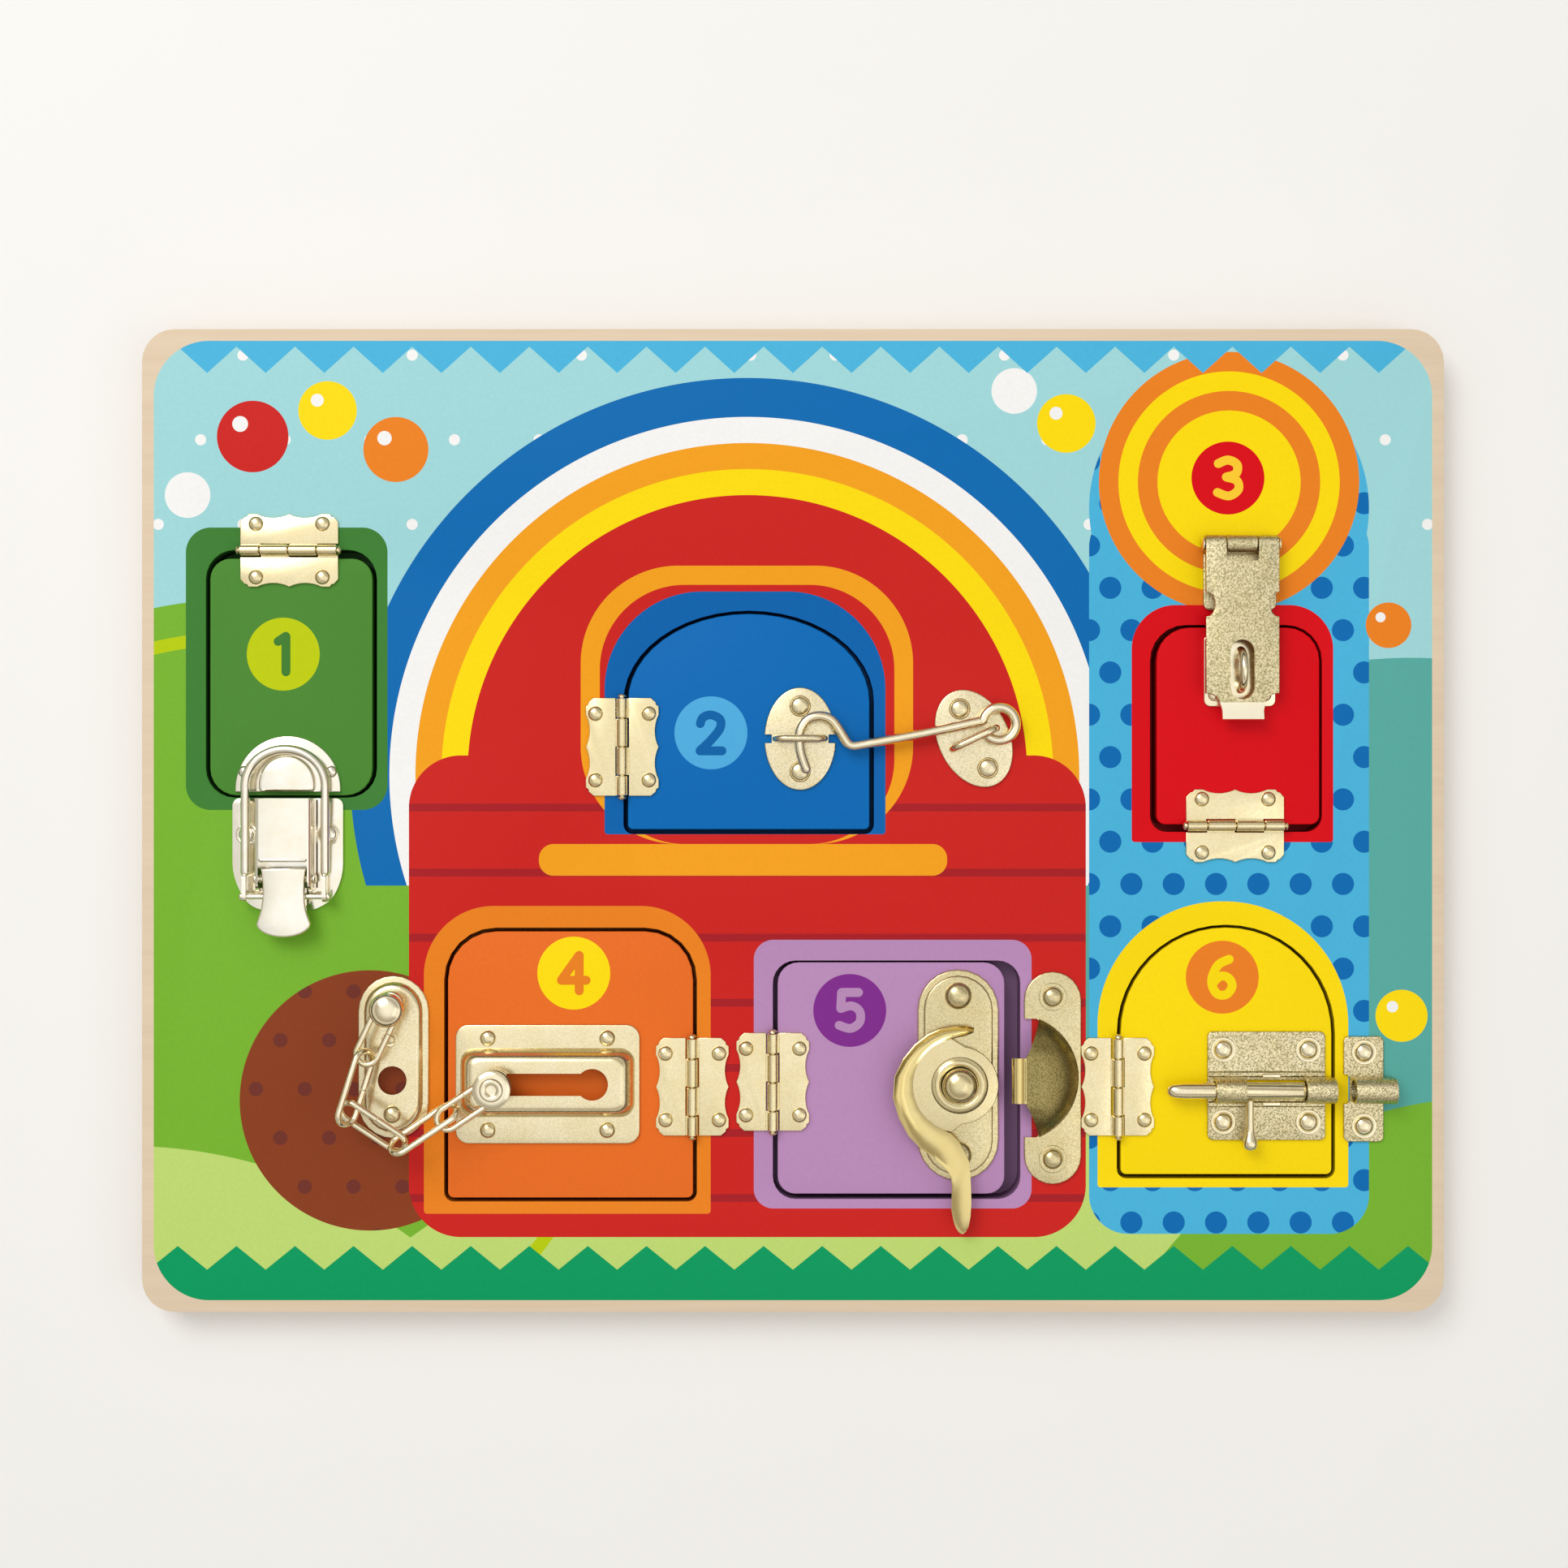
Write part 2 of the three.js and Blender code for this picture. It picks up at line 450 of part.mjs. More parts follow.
// Eye plate: oval plate, slot across it and a strap that arches over the slot
const eyePlate = (slotted) => {
  const shape = new THREE.Shape();
  shape.absellipse(0, 0, eye.wide / 2, eye.tall / 2, 0, 2 * Math.PI);
  let whole = slab(shape, 0, eye.thick, 8);
  const foot = eye.span / 2 - eye.strap;
  const slotHalf = foot - eye.bridge;
  whole = cut(whole, slab(rectangle(-slotHalf, slotHalf, -eye.slot / 2, eye.slot / 2), -overrun, overrun));
  if (slotted) {
    for (const side of [-1, 1]) {
      const ends = [side * (foot + eye.bridge), side * eye.wide].sort((a, b) => a - b);
      whole = cut(whole, slab(rectangle(...ends, -eye.slot / 2, eye.slot / 2), -overrun, overrun));
    }
  }
  const straight = eye.rise - eye.strap - eye.bend;
  const left = [0, 1, 2, 3, 4].map((i) => {
    const angle = (Math.PI * i) / 8;
    return [eye.bend * (1 - Math.cos(angle)) - foot, 0, straight + eye.bend * Math.sin(angle)];
  });
  const right = left.map(([x, y, z]) => [-x, y, z]).reverse();
  const strap = polyline([[-foot, 0, eye.foot], ...left, ...right, [foot, 0, eye.foot]]);
  whole = join(whole, wire(strap, eye.strap, 22));
  for (const y of [-eye.rivetAt, eye.rivetAt]) {
    whole = riveted(whole, eye.thick, eye.rivet, eye.rivetTall, 0, y);
  }
  return whole;
};
place('door_eye_plate', eyePlate(true), brass, eyePlaces.door.x, eyePlaces.door.y, faceHeight);
place('board_eye_plate', eyePlate(false), brass, eyePlaces.board.x, eyePlaces.board.y, faceHeight,
  THREE.MathUtils.degToRad(eyePlaces.board.lean));

// Hook: a ring round the board eye's right leg, a long shank and a bent tip under the door's eye
const hookShape = () => {
  const points = [];
  const turns = 12;
  for (let i = 0; i <= turns; i += 1) {
    const along = hook.openTo + (i / turns) * (360 + hook.openFrom - hook.openTo);
    const angle = THREE.MathUtils.degToRad(along);
    const [x, y] = [hook.ring * Math.cos(angle), hook.ring * Math.sin(angle)];
    points.push([hook.ringX + x, hook.ringY + y, hook.height]);
  }
  hookRun.forEach(([x, y]) => points.push([x, y, hook.height]));
  return wire(route(points), hook.wire, 52, 6);
};
place('hook', hookShape(), brass, 0, 0, faceHeight);

// Hasp base and strap on one pin
const onHaspPin = (shape) => moved(alongX(shape), 0, hasp.pinAt, hasp.axisHeight);
const haspKnuckle = (left, right) => onHaspPin(rod(hasp.barrel, left, right, 12));
const haspBore = () => onHaspPin(rod(hasp.bore, -2 * hasp.half, 2 * hasp.half, 8));
const middleHalf = hasp.half - hasp.knuckle;
const haspBase = () => {
  const { base } = hasp;
  const inner = middleHalf - hasp.gap / 2;
  const plate = slab(rectangle(-hasp.half, hasp.half, base.low, hasp.pinAt - hasp.barrel, base.corner, 0), 0,
    base.thick);
  const neck = slab(rectangle(-inner, inner, hasp.pinAt - 2 * hasp.barrel, hasp.pinAt), 0, base.thick);
  return cut(join(plate, neck, haspKnuckle(-inner, inner)), haspBore());
};
place('hasp_base', haspBase(), brass, hasp.middle, 0, faceHeight);
const haspStrap = () => {
  const { strap } = hasp;
  const shape = new THREE.Shape();
  const half = hasp.half;
  const lipStart = strap.low + strap.lip;
  shape.moveTo(-strap.tongue, strap.low);
  shape.lineTo(strap.tongue, strap.low);
  shape.lineTo(strap.tongue, lipStart);
  shape.quadraticCurveTo(strap.tongue, strap.taperAt, half, strap.taperAt + strap.notchIn);
  shape.lineTo(half, hasp.pinAt);
  shape.lineTo(-half, hasp.pinAt);
  shape.lineTo(-half, strap.taperAt + strap.notchIn);
  shape.quadraticCurveTo(-strap.tongue, strap.taperAt, -strap.tongue, lipStart);
  const slotHigh = strap.slotAt + strap.slotLong / 2;
  const slotLow = strap.slotAt - strap.slotLong / 2;
  shape.holes.push(obround(0, slotLow, slotHigh, strap.slotHalf));
  const topHeight = strap.under + strap.thick;
  let whole = slab(shape, strap.under, topHeight, 4);
  const window = middleHalf + hasp.gap / 2;
  const opening = rectangle(-window, window, strap.windowLow, hasp.pinAt + overrun);
  whole = cut(whole, slab(opening, 0, topHeight + overrun));
  for (const x of [-half - strap.notch + strap.notchIn, half + strap.notch - strap.notchIn]) {
    whole = cut(whole, slab(disc(x, strap.notchAt, strap.notch), 0, topHeight + overrun, 5));
  }
  whole = cut(whole, slab(rectangle(-half, half, strap.low - overrun, lipStart), 0, topHeight + overrun));
  const lipTop = topHeight + strap.lipRise;
  const lipProfile = polygon([[lipStart, strap.under], [lipStart, topHeight],
    [strap.low, lipTop], [strap.low - strap.thick / 2, lipTop - strap.thick]]);
  const lip = solid(new THREE.ExtrudeGeometry(lipProfile, { depth: 2 * strap.tongue, bevelEnabled: false })
    .rotateX(Math.PI / 2).rotateZ(Math.PI / 2).translate(-strap.tongue, 0, 0));
  const knuckles = join(haspKnuckle(-half, -window), haspKnuckle(window, half));
  return cut(join(whole, lip, knuckles), haspBore());
};
place('hasp_strap', haspStrap(), brass, hasp.middle, 0, faceHeight);
place('hasp_pin', headedPin(hasp.pin, hasp.head, hasp.half + seat, hasp.headLong, 12), brass,
  hasp.middle, hasp.pinAt, faceHeight + hasp.axisHeight);

// Staple plate on door 3
const staplePlate = () => {
  const { plate, staple, strap } = hasp;
  let whole = slab(rectangle(-plate.half, plate.half, plate.low, plate.high, plate.corner), 0, plate.thick);
  const bendAt = staple.top - staple.leg - staple.wire;
  const bends = [0, 1, 2, 3, 4, 5, 6].map((i) => (Math.PI * i) / 6);
  const arc = bends.map((angle) => [0, strap.slotAt - staple.leg * Math.cos(angle),
    bendAt + staple.leg * Math.sin(angle)]);
  const foot = plate.thick / 2;
  const points = [[0, strap.slotAt - staple.leg, foot], ...arc, [0, strap.slotAt + staple.leg, foot]];
  whole = join(whole, wire(polyline(points), staple.wire, 14));
  for (const x of [-hasp.rivetSide, hasp.rivetSide]) {
    for (const y of [plate.low + hasp.rivetIn, plate.high - hasp.rivetIn]) {
      whole = riveted(whole, plate.thick, hasp.rivet, hasp.rivetTall, x, y);
    }
  }
  return whole;
};
place('staple_plate', staplePlate(), brass, hasp.middle, 0, faceHeight);

// Anchor plate: obround pressing with a raised middle and the parking hole
const anchorPlate = () => {
  const a = anchor;
  const inside = a.half - a.rim;
  const raised = slab(obround(0, a.low + a.rim, a.high - a.rim, inside), a.thick / 2, a.raised, 4);
  let whole = join(slab(obround(0, a.low, a.high, a.half), 0, a.thick, 4), raised);
  whole = join(whole, moved(dome(a.rivet, a.rivetTall + a.thick, a.raised - a.thick), 0, a.rivetAt));
  return cut(whole, moved(rod(a.park, -overrun, a.raised + overrun, 16), 0, a.parkAt));
};
place('anchor_plate', anchorPlate(), brass, anchor.x, 0, faceHeight);
const anchorKnob = () => {
  const a = anchor;
  const footTop = a.raised + a.footTall;
  return turned([[0, a.raised], [a.foot, a.raised], [a.foot, footTop], [a.neck, footTop],
    [a.neck, a.knobUnder], [a.knobBase, a.knobUnder], [a.knob, a.knobUnder + a.knobEdge],
    [a.knobShoulder, a.knobTop - a.knobEdge], [a.knobCrown, a.knobTop], [0, a.knobTop]], 14);
};
place('anchor_knob', anchorKnob(), brass, anchor.x, anchor.knobAt, faceHeight);

// Track plate: flat plate with a hollow box that has a slot and a keyhole
const tapered = (long, tall, topLong, topTall, under, top) => {
  const { x, y, baseCorner, topCorner } = track.box;
  const ring = (w, h, corner, z) => rectangle(x - w / 2, x + w / 2, y - h / 2, y + h / 2, corner)
    .extractPoints(3).shape.map((p) => new THREE.Vector3(p.x, p.y, z));
  const low = ring(long, tall, baseCorner, under);
  const high = ring(topLong, topTall, topCorner, top);
  const count = low.length - (low[0].distanceTo(low[low.length - 1]) < 1e-6 ? 1 : 0);
  const points = [...low.slice(0, count), ...high.slice(0, count), new THREE.Vector3(x, y, under),
    new THREE.Vector3(x, y, top)];
  const faces = [];
  for (let i = 0; i < count; i += 1) {
    const j = (i + 1) % count;
    faces.push(i, j, count + j, i, count + j, count + i);
    faces.push(j, i, 2 * count, count + i, count + j, 2 * count + 1);
  }
  const geometry = new THREE.BufferGeometry().setFromPoints(points);
  geometry.setIndex(faces);
  return solid(geometry);
};
const trackPlate = () => {
  const { box } = track;
  const flat = slab(rectangle(track.left, track.right, track.low, track.high, track.corner), 0, track.thick);
  const shell = tapered(box.long, box.tall, box.topLong, box.topTall, track.thick / 2, box.top);
  const inside = tapered(box.long - 2 * box.wall, box.tall - 2 * box.wall, box.topLong - box.wall,
    box.topTall - box.wall, -box.wall / 4, box.top - box.wall);
  const keyhole = moved(rod(track.keyhole, track.thick, box.top + overrun, 16), track.keyholeAt, box.y);
  const slotPlan = rectangle(track.slotEnd - track.slot, track.keyholeAt, box.y - track.slot,
    box.y + track.slot, track.slot, 0);
  const slot = slab(slotPlan, track.thick, box.top + overrun, 4);
  let whole = cut(join(flat, shell), inside, keyhole, slot);
  for (const x of [track.left + track.rivetInX, track.right - track.rivetInX]) {
    for (const y of [track.low + track.rivetInY, track.high - track.rivetInY]) {
      whole = riveted(whole, track.thick, track.rivet, track.rivetTall, x, y);
    }
  }
  return whole;
};
place('track_plate', trackPlate(), brass, 0, 0, faceHeight);

// Slider: a foot inside the box, a neck through the slot, a collar on top and an eyeleted head
const sliderShape = () => {
  const s = slider;
  const { box } = track;
  const footTop = box.top - box.wall - seat;
  const collarUnder = box.top + seat;
  const footUnder = footTop - s.footThick;
  const collarTop = collarUnder + s.collarThick;
  const headTop = s.headUnder + s.headTall;
  const eyeletTop = headTop + s.eyeletTall;
  const holeEnd = eyeletTop - s.holeDeep;
  return turned([[0, footUnder], [s.foot, footUnder], [s.foot, footTop], [s.neck, footTop],
    [s.neck, collarUnder], [s.collar, collarUnder], [s.collar, collarTop], [s.neck, collarTop],
    [s.neck, s.headUnder], [s.head, s.headUnder], [s.head, headTop], [s.eyelet, headTop],
    [s.eyelet, eyeletTop], [s.hole, eyeletTop], [s.hole, holeEnd], [0, holeEnd]], 16);
};
place('chain_slider', sliderShape(), brass, slider.x, slider.y, faceHeight);

// Chain links
const linkShape = () => wire(linkCurve(chain.half, chain.bend, chain.seam), chain.wire, 26, 6);
links.forEach((link, i) => {
  const mesh = place(`chain_link_${i + 1}`, linkShape(), brass, link.x, link.y, faceHeight + link.height);
  const turns = [link.heading, -link.pitch, link.roll];
  const [yaw, pitch, roll] = turns.map((angle) => THREE.MathUtils.degToRad(angle));
  mesh.rotation.set(roll, pitch, yaw, 'ZYX');
});

// Cam plate with its hub, on door 5
const camPlate = () => {
  const { plate } = cam;
  const [dx, dy] = [plate.x - cam.x, plate.y - cam.y];
  const [low, high] = [dy - plate.tall / 2, dy + plate.tall / 2];
  let whole = slab(obround(dx, low, high, plate.half), 0, plate.thick, 4);
  const middle = obround(dx, low + plate.rim, high - plate.rim, plate.half - plate.rim);
  whole = join(whole, slab(middle, plate.thick / 2, plate.raised, 4));
  whole = join(whole, rod(cam.hub, plate.thick, cam.hubTop, 16));
  for (const side of [1, -1]) {
    const y = dy + side * (cam.rivetAt - cam.y - dy);
    whole = riveted(whole, plate.thick, cam.rivet, cam.rivetTall, dx, y, 12);
  }
  return whole;
};
place('cam_plate', camPlate(), brass, cam.x, cam.y, faceHeight);

// Cam lever: a disc with a crescent flange that grows towards the handle
const camLever = () => {
  const under = cam.discUnder;
  const top = under + cam.discThick;
  const crescent = new THREE.Shape();
  const reachShares = [0.79, 0.9, 0.97, 1.0, 1.0, 0.98, 0.95, 0.93];
  reachShares.forEach((share, i) => {
    const angle = THREE.MathUtils.degToRad(cam.flangeFrom + cam.flangeStep * i);
    const tip = [share * cam.flange * Math.cos(angle), share * cam.flange * Math.sin(angle)];
    if (i) crescent.lineTo(...tip);
    else crescent.moveTo(...tip);
  });
  crescent.lineTo(0, -cam.disc);
  crescent.lineTo(0, cam.disc);
  let whole = slab(disc(0, 0, cam.disc), under, top, 10);
  whole = join(whole, slab(crescent, under + cam.flangeRise, top + cam.flangeRise / 2, 4));
  whole = join(whole, rod(cam.boss, top - cam.discThick / 2, top + cam.bossTall, 16));
  const half = cam.handleWide / 2;
  const handle = new THREE.Shape();
  handle.moveTo(-cam.disc, -cam.disc - cam.flangeRise);
  handle.quadraticCurveTo(-half, -cam.flange, -half, -cam.handleReach + 2 * half);
  handle.quadraticCurveTo(-half, -cam.handleReach, half / 3, -cam.handleReach);
  handle.quadraticCurveTo(half, -cam.handleReach + half, half, -cam.handleReach + 3 * half);
  handle.quadraticCurveTo(half, -cam.flange, -half / 3, -cam.disc);
  whole = join(whole, slab(handle, under + cam.flangeRise, under + cam.flangeRise + cam.handleThick, 5));
  return cut(whole, rod(cam.bore, -overrun, top + cam.bossTall + overrun, 12));
};
place('cam_lever', camLever(), brass, cam.x, cam.y, faceHeight);
const camTop = cam.discUnder + cam.discThick + cam.bossTall;
place('cam_rivet', join(rod(cam.post, cam.hubTop, camTop + seat + cam.headTall / 2, 12),
  dome(cam.head, cam.headTall, camTop + seat, 14)), brass, cam.x, cam.y, faceHeight);

// Keeper of the cam, on the board: recessed plate and a scoop with a lip
const keeperShape = () => {
  const k = keeper;
  const [low, high] = [-k.tall / 2, k.tall / 2];
  let whole = slab(obround(0, low, high, k.half), 0, k.thick, 4);
  const recess = rectangle(-k.half - overrun, -k.half + k.recessIn, -k.recess / 2, k.recess / 2);
  whole = cut(whole, slab(recess, -overrun, k.thick + overrun));
  const lipX = k.lip - k.x;
  const riseX = k.rise - k.x;
  const footX = k.half - k.wall;
  const profile = [[lipX, k.top - k.wall], [lipX, k.top], [riseX, k.top], [k.half - k.wall / 2, k.thick],
    [k.half - k.wall / 2, k.thick / 2], [footX - k.wall, k.thick / 2], [riseX - k.wall, k.top - k.wall]];
  const sheet = solid(new THREE.ExtrudeGeometry(polygon(profile), { depth: k.recess, bevelEnabled: false })
    .rotateX(Math.PI / 2).translate(0, k.recess / 2, 0));
  const plan = polygon([[lipX - overrun, -k.lipTall / 2], [-k.half + k.recessIn / 2, -k.lipTall / 2],
    [0, -k.recess / 2], [k.half, -k.recess / 2], [k.half, k.recess / 2], [0, k.recess / 2],
    [-k.half + k.recessIn / 2, k.lipTall / 2], [lipX - overrun, k.lipTall / 2]]);
  whole = join(whole, sheet.intersect(slab(plan, -overrun, k.top + overrun)));
  for (const y of [k.rivetHigh - k.y, k.rivetLow - k.y]) {
    whole = riveted(whole, k.thick, k.ring, (k.thick + k.rivetTall) / 2, 0, y, 12);
    whole = join(whole, moved(dome(k.rivet, k.rivetTall + k.thick / 2, k.thick), 0, y));
  }
  return whole;
};
place('cam_keeper', keeperShape(), brass, keeper.x, keeper.y, faceHeight);

// Barrel bolt plate with its two guides, on door 6
const guideBlock = (left, right) => {
  const g = boltPlate;
  const leg = slab(rectangle(left, right, -g.guide, g.guide), g.thick / 2, bolt.axisHeight);
  return join(leg, moved(alongX(rod(g.guide, left, right, 14)), 0, 0, bolt.axisHeight));
};
const guideBore = (clearance) => moved(alongX(rod(bolt.bar + clearance, boltPlate.left - overrun,
  boltKeeper.loopRight + overrun, 16)), 0, 0, bolt.axisHeight);
const ringedRivet = (x, y) => join(
  moved(dome(boltPlate.ring, boltPlate.thick + boltPlate.rivetTall / 3, boltPlate.thick / 2, 8), x, y),
  moved(dome(boltPlate.rivet, boltPlate.rivetTall + boltPlate.thick / 2, boltPlate.thick), x, y));
const lastLeft = bolt.stemAt + bolt.travel + bolt.stem + seat;
const boltPlateShape = () => {
  const g = boltPlate;
  const [low, high] = [g.low - bolt.axisY, g.high - bolt.axisY];
  let whole = slab(rectangle(g.left, g.right, low, high, g.corner), 0, g.thick);
  const window = rectangle(g.firstRight, lastLeft, -g.windowHalf, g.windowHalf);
  whole = cut(whole, slab(window, -overrun, g.thick + overrun));
  whole = join(whole, guideBlock(g.firstLeft, g.firstRight), guideBlock(lastLeft, g.lastRight));
  for (const x of [g.rivetLeft, g.rivetRight]) {
    for (const y of [low + g.rivetIn, high - g.rivetIn]) whole = join(whole, ringedRivet(x, y));
  }
  return cut(whole, guideBore(bolt.running));
};
place('bolt_plate', boltPlateShape(), brass, 0, bolt.axisY, faceHeight);
const boltBar = alongX(turned([[0, bolt.tipAt], [bolt.tip, bolt.tipAt],
  [bolt.bar, bolt.tipAt + bolt.tipLong], [bolt.bar, bolt.endAt], [0, bolt.endAt]], 12));
place('bolt', boltBar, brass, 0, bolt.axisY, faceHeight + bolt.axisHeight);
const handleReach = bolt.axisY - bolt.ballAt;
const boltHandle = () => {
  const stem = alongY(rod(bolt.stem, -handleReach, -bolt.bar - seat, 8));
  const ball = moved(solid(new THREE.SphereGeometry(bolt.ball, 12, 8)), 0, -handleReach);
  return join(stem, ball);
};
place('bolt_handle', boltHandle(), brass, bolt.stemAt, bolt.axisY, faceHeight + bolt.axisHeight);

// Keeper of the bolt, on the board
const boltKeeperShape = () => {
  const k = boltKeeper;
  let whole = slab(rectangle(k.left, k.right, -k.half, k.half, boltPlate.corner), 0, boltPlate.thick);
  whole = join(whole, guideBlock(k.loopLeft, k.loopRight));
  for (const y of [-k.half + k.rivetIn, k.half - k.rivetIn]) whole = join(whole, ringedRivet(k.rivetX, y));
  return cut(whole, guideBore(bolt.loose));
};
place('bolt_keeper', boltKeeperShape(), brass, 0, bolt.axisY, faceHeight);

export default group;
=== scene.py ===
"""Latch board: plywood, printed face, six doors and six brass-coloured latches, lit in a plain studio."""
import math

import bmesh
import bpy
from mathutils import Matrix, Vector


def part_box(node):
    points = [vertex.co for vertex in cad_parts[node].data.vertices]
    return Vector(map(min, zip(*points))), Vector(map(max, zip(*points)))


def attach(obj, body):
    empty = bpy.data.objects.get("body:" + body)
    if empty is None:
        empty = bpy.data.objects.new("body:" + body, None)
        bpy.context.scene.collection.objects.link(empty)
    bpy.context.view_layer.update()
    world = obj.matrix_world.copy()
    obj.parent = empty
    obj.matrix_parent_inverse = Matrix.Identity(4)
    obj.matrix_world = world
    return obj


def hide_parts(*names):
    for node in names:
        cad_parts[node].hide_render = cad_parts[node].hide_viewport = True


bl_info = {
    "name": "Latch board",
    "version": (1, 0, 0),
    "blender": (4, 5, 0),
    "location": "View3D > Sidebar > Latch board",
    "description": "Builds a wooden latch board with doors, hinges and latches",
    "category": "Add Mesh",
}

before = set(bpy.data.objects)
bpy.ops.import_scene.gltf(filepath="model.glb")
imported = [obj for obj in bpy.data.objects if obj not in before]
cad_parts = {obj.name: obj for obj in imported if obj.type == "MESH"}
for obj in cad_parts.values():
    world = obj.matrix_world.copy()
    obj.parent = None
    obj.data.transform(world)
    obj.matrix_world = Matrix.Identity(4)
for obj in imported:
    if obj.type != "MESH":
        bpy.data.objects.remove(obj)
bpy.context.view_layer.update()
MM = 0.001


def corner_of(node, end):
    """A node's lowest (0) or highest (1) corner in millimetres."""
    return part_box(node)[end] / MM


BOARD_LOW = corner_of("front_panel", 0)
BOARD_HIGH = corner_of("front_panel", 1)
FACE = BOARD_HIGH.z
FLOOR_TOP = corner_of("back_panel", 1).z

# The photograph: pixels to the millimetre, the pixel over the board's middle, and the picture's side
PHOTO_SCALE = 4.01
PHOTO_MIDDLE = (977, 1011)
PHOTO_SIDE = 1932

# How far under a face its print or paint still counts as on it, where the plies and the badges' masks
# begin under the face, the thickness of a ply, and the angle of a sharp edge
INK_DEPTH = 0.3
PLIES_UNDER = 0.45
BADGE_DEPTH = 0.5
PLY = 1.5
CREASE = math.radians(40)
# Lower and upper end of a block that cuts through a plate, and how deep a rivet's head is sunk
CUT_LOW, CUT_HIGH = -3, 4
RIVET_SINK = -0.2
SIDES = (-1, 1)


def from_photo(x, y):
    """Millimetres on the board from a pixel of the photograph."""
    return (x - PHOTO_MIDDLE[0]) / PHOTO_SCALE, (PHOTO_MIDDLE[1] - y) / PHOTO_SCALE


# Property groups
def length(name, description, default):
    """A size in millimetres."""
    return bpy.props.FloatProperty(name=name, description=description, default=default, min=0.0)


def paint(name, description, default):
    """A colour of the print or of a material."""
    return bpy.props.FloatVectorProperty(name=name, description=description, default=default,
                                         subtype="COLOR", size=3, min=0.0, max=1.0)


class LATCHBOARD_PG_sizes(bpy.types.PropertyGroup):
    print_margin: length("Print margin", "Bare plywood left round the print, in mm", 3.6)
    print_corner: length("Print corner", "Corner radius of the print, in mm", 17.0)
    wood_edge: length("Wood edge", "Rounding of the plywood's edges, in mm", 0.5)
    door_edge: length("Door edge", "Rounding of the doors' edges, in mm", 0.35)
    badge: length("Badge", "Radius of the round number badges, in mm", 11.2)
    digit: length("Digit", "Height of the numbers on the badges, in mm", 13.8)
    camera_above: length("Camera height", "Camera above the printed face, in mm", 675.0)


class LATCHBOARD_PG_colours(bpy.types.PropertyGroup):
    plywood: paint("Plywood", "Bare plywood", (0.80, 0.66, 0.50))
    sky: paint("Sky blue", "Ground colour of the print", (0.36, 0.70, 0.74))
    leaf: paint("Leaf green", "Hills of the print", (0.19, 0.47, 0.03))
    grass: paint("Grass green", "Pale field of the print", (0.53, 0.72, 0.18))
    deep_green: paint("Deep green", "Border of the print", (0.0, 0.34, 0.12))
    red: paint("Red", "Large block of the print", (0.62, 0.016, 0.012))
    blue: paint("Blue", "Arcs of the print", (0.0, 0.15, 0.47))
    pale_blue: paint("Pale blue", "Column of the print", (0.07, 0.47, 0.76))
    orange: paint("Orange", "Orange of the print", (0.86, 0.23, 0.013))
    amber: paint("Amber", "Amber bands of the print", (0.92, 0.37, 0.01))
    yellow: paint("Yellow", "Yellow of the print", (1.0, 0.74, 0.0))
    gold: paint("Gold plating", "Plating on the pressed steel", (0.90, 0.80, 0.55))
    floor: paint("Floor", "Pale floor", (0.93, 0.93, 0.92))


# Outlines, in millimetres and degrees
def curve(x, y, wide, tall, angles):
    """Points of an ellipse at the given angles."""
    return [(x + wide * math.cos(a), y + tall * math.sin(a)) for a in map(math.radians, angles)]


def arc(x, y, radius, start, stop, steps, rise=None):
    """Even points of an arc; a rise makes it an arc of an ellipse."""
    angles = [start + (stop - start) * i / steps for i in range(steps + 1)]
    return curve(x, y, radius, radius if rise is None else rise, angles)


def box_corners(left, right, low, high):
    """The four corners of a rectangle."""
    return [(left, low), (right, low), (right, high), (left, high)]


def obround(x, low, high, half):
    """Outline of a plate with round ends."""
    return arc(x, high - half, half, 0, 180, 12) + arc(x, low + half, half, 180, 360, 12)


def flipped(points, axis=0):
    """The points mirrored on one axis, in reverse order."""
    return [tuple(-v if i == axis else v for i, v in enumerate(point)) for point in reversed(points)]


def raised(points, z):
    """Points in plan at a height."""
    return [(x, y, z) for x, y in points]


def rounded(x, y, half_x, half_y, corner, z):
    """A ring of points round a rectangle with round corners."""
    ring = []
    for side_x, side_y, start in ((1, 1, 0), (-1, 1, 90), (-1, -1, 180), (1, -1, 270)):
        ring += arc(x + side_x * (half_x - corner), y + side_y * (half_y - corner), corner, start,
                    start + 90, 6)
    return raised(ring, z)


def smooth_run(points, per):
    """Points along a smooth curve through the given ones."""
    knots = [Vector(point) for point in points]
    run = []
    for before, here, ahead, after in zip([knots[0], *knots], knots, knots[1:], [*knots[2:], knots[-1]]):
        first = (ahead - before) / 2
        second = (after - here) / 2
        for step in range(per):
            t = step / per
            run.append(here * (2 * t**3 - 3 * t**2 + 1) + first * (t**3 - 2 * t**2 + t)
                       + ahead * (3 * t**2 - 2 * t**3) + second * (t**3 - t**2))
    return run + [knots[-1]]


# Meshes, built in millimetres above the board's face
UPRIGHT = Matrix.Rotation(math.pi / 2, 4, "X")
ALONG_X = Matrix.Rotation(math.pi / 2, 4, "Y")
ALONG_Y = Matrix.Rotation(-math.pi / 2, 4, "X")
QUARTER = Matrix.Rotation(math.pi / 2, 4, "Z")
QUARTER_BACK = Matrix.Rotation(-math.pi / 2, 4, "Z")


def placed(bm, x=0.0, y=0.0, z=0.0, turn=Matrix()):
    """Moves a mesh, after an optional turn."""
    bmesh.ops.transform(bm, matrix=Matrix.Translation((x, y, z)) @ turn, verts=bm.verts)
    return bm


def round_edges(bm, edges, width):
    """Rounds some edges of a mesh."""
    bmesh.ops.bevel(bm, geom=edges, offset=width, segments=3, profile=0.5, affect="EDGES", material=-1,
                    clamp_overlap=True)


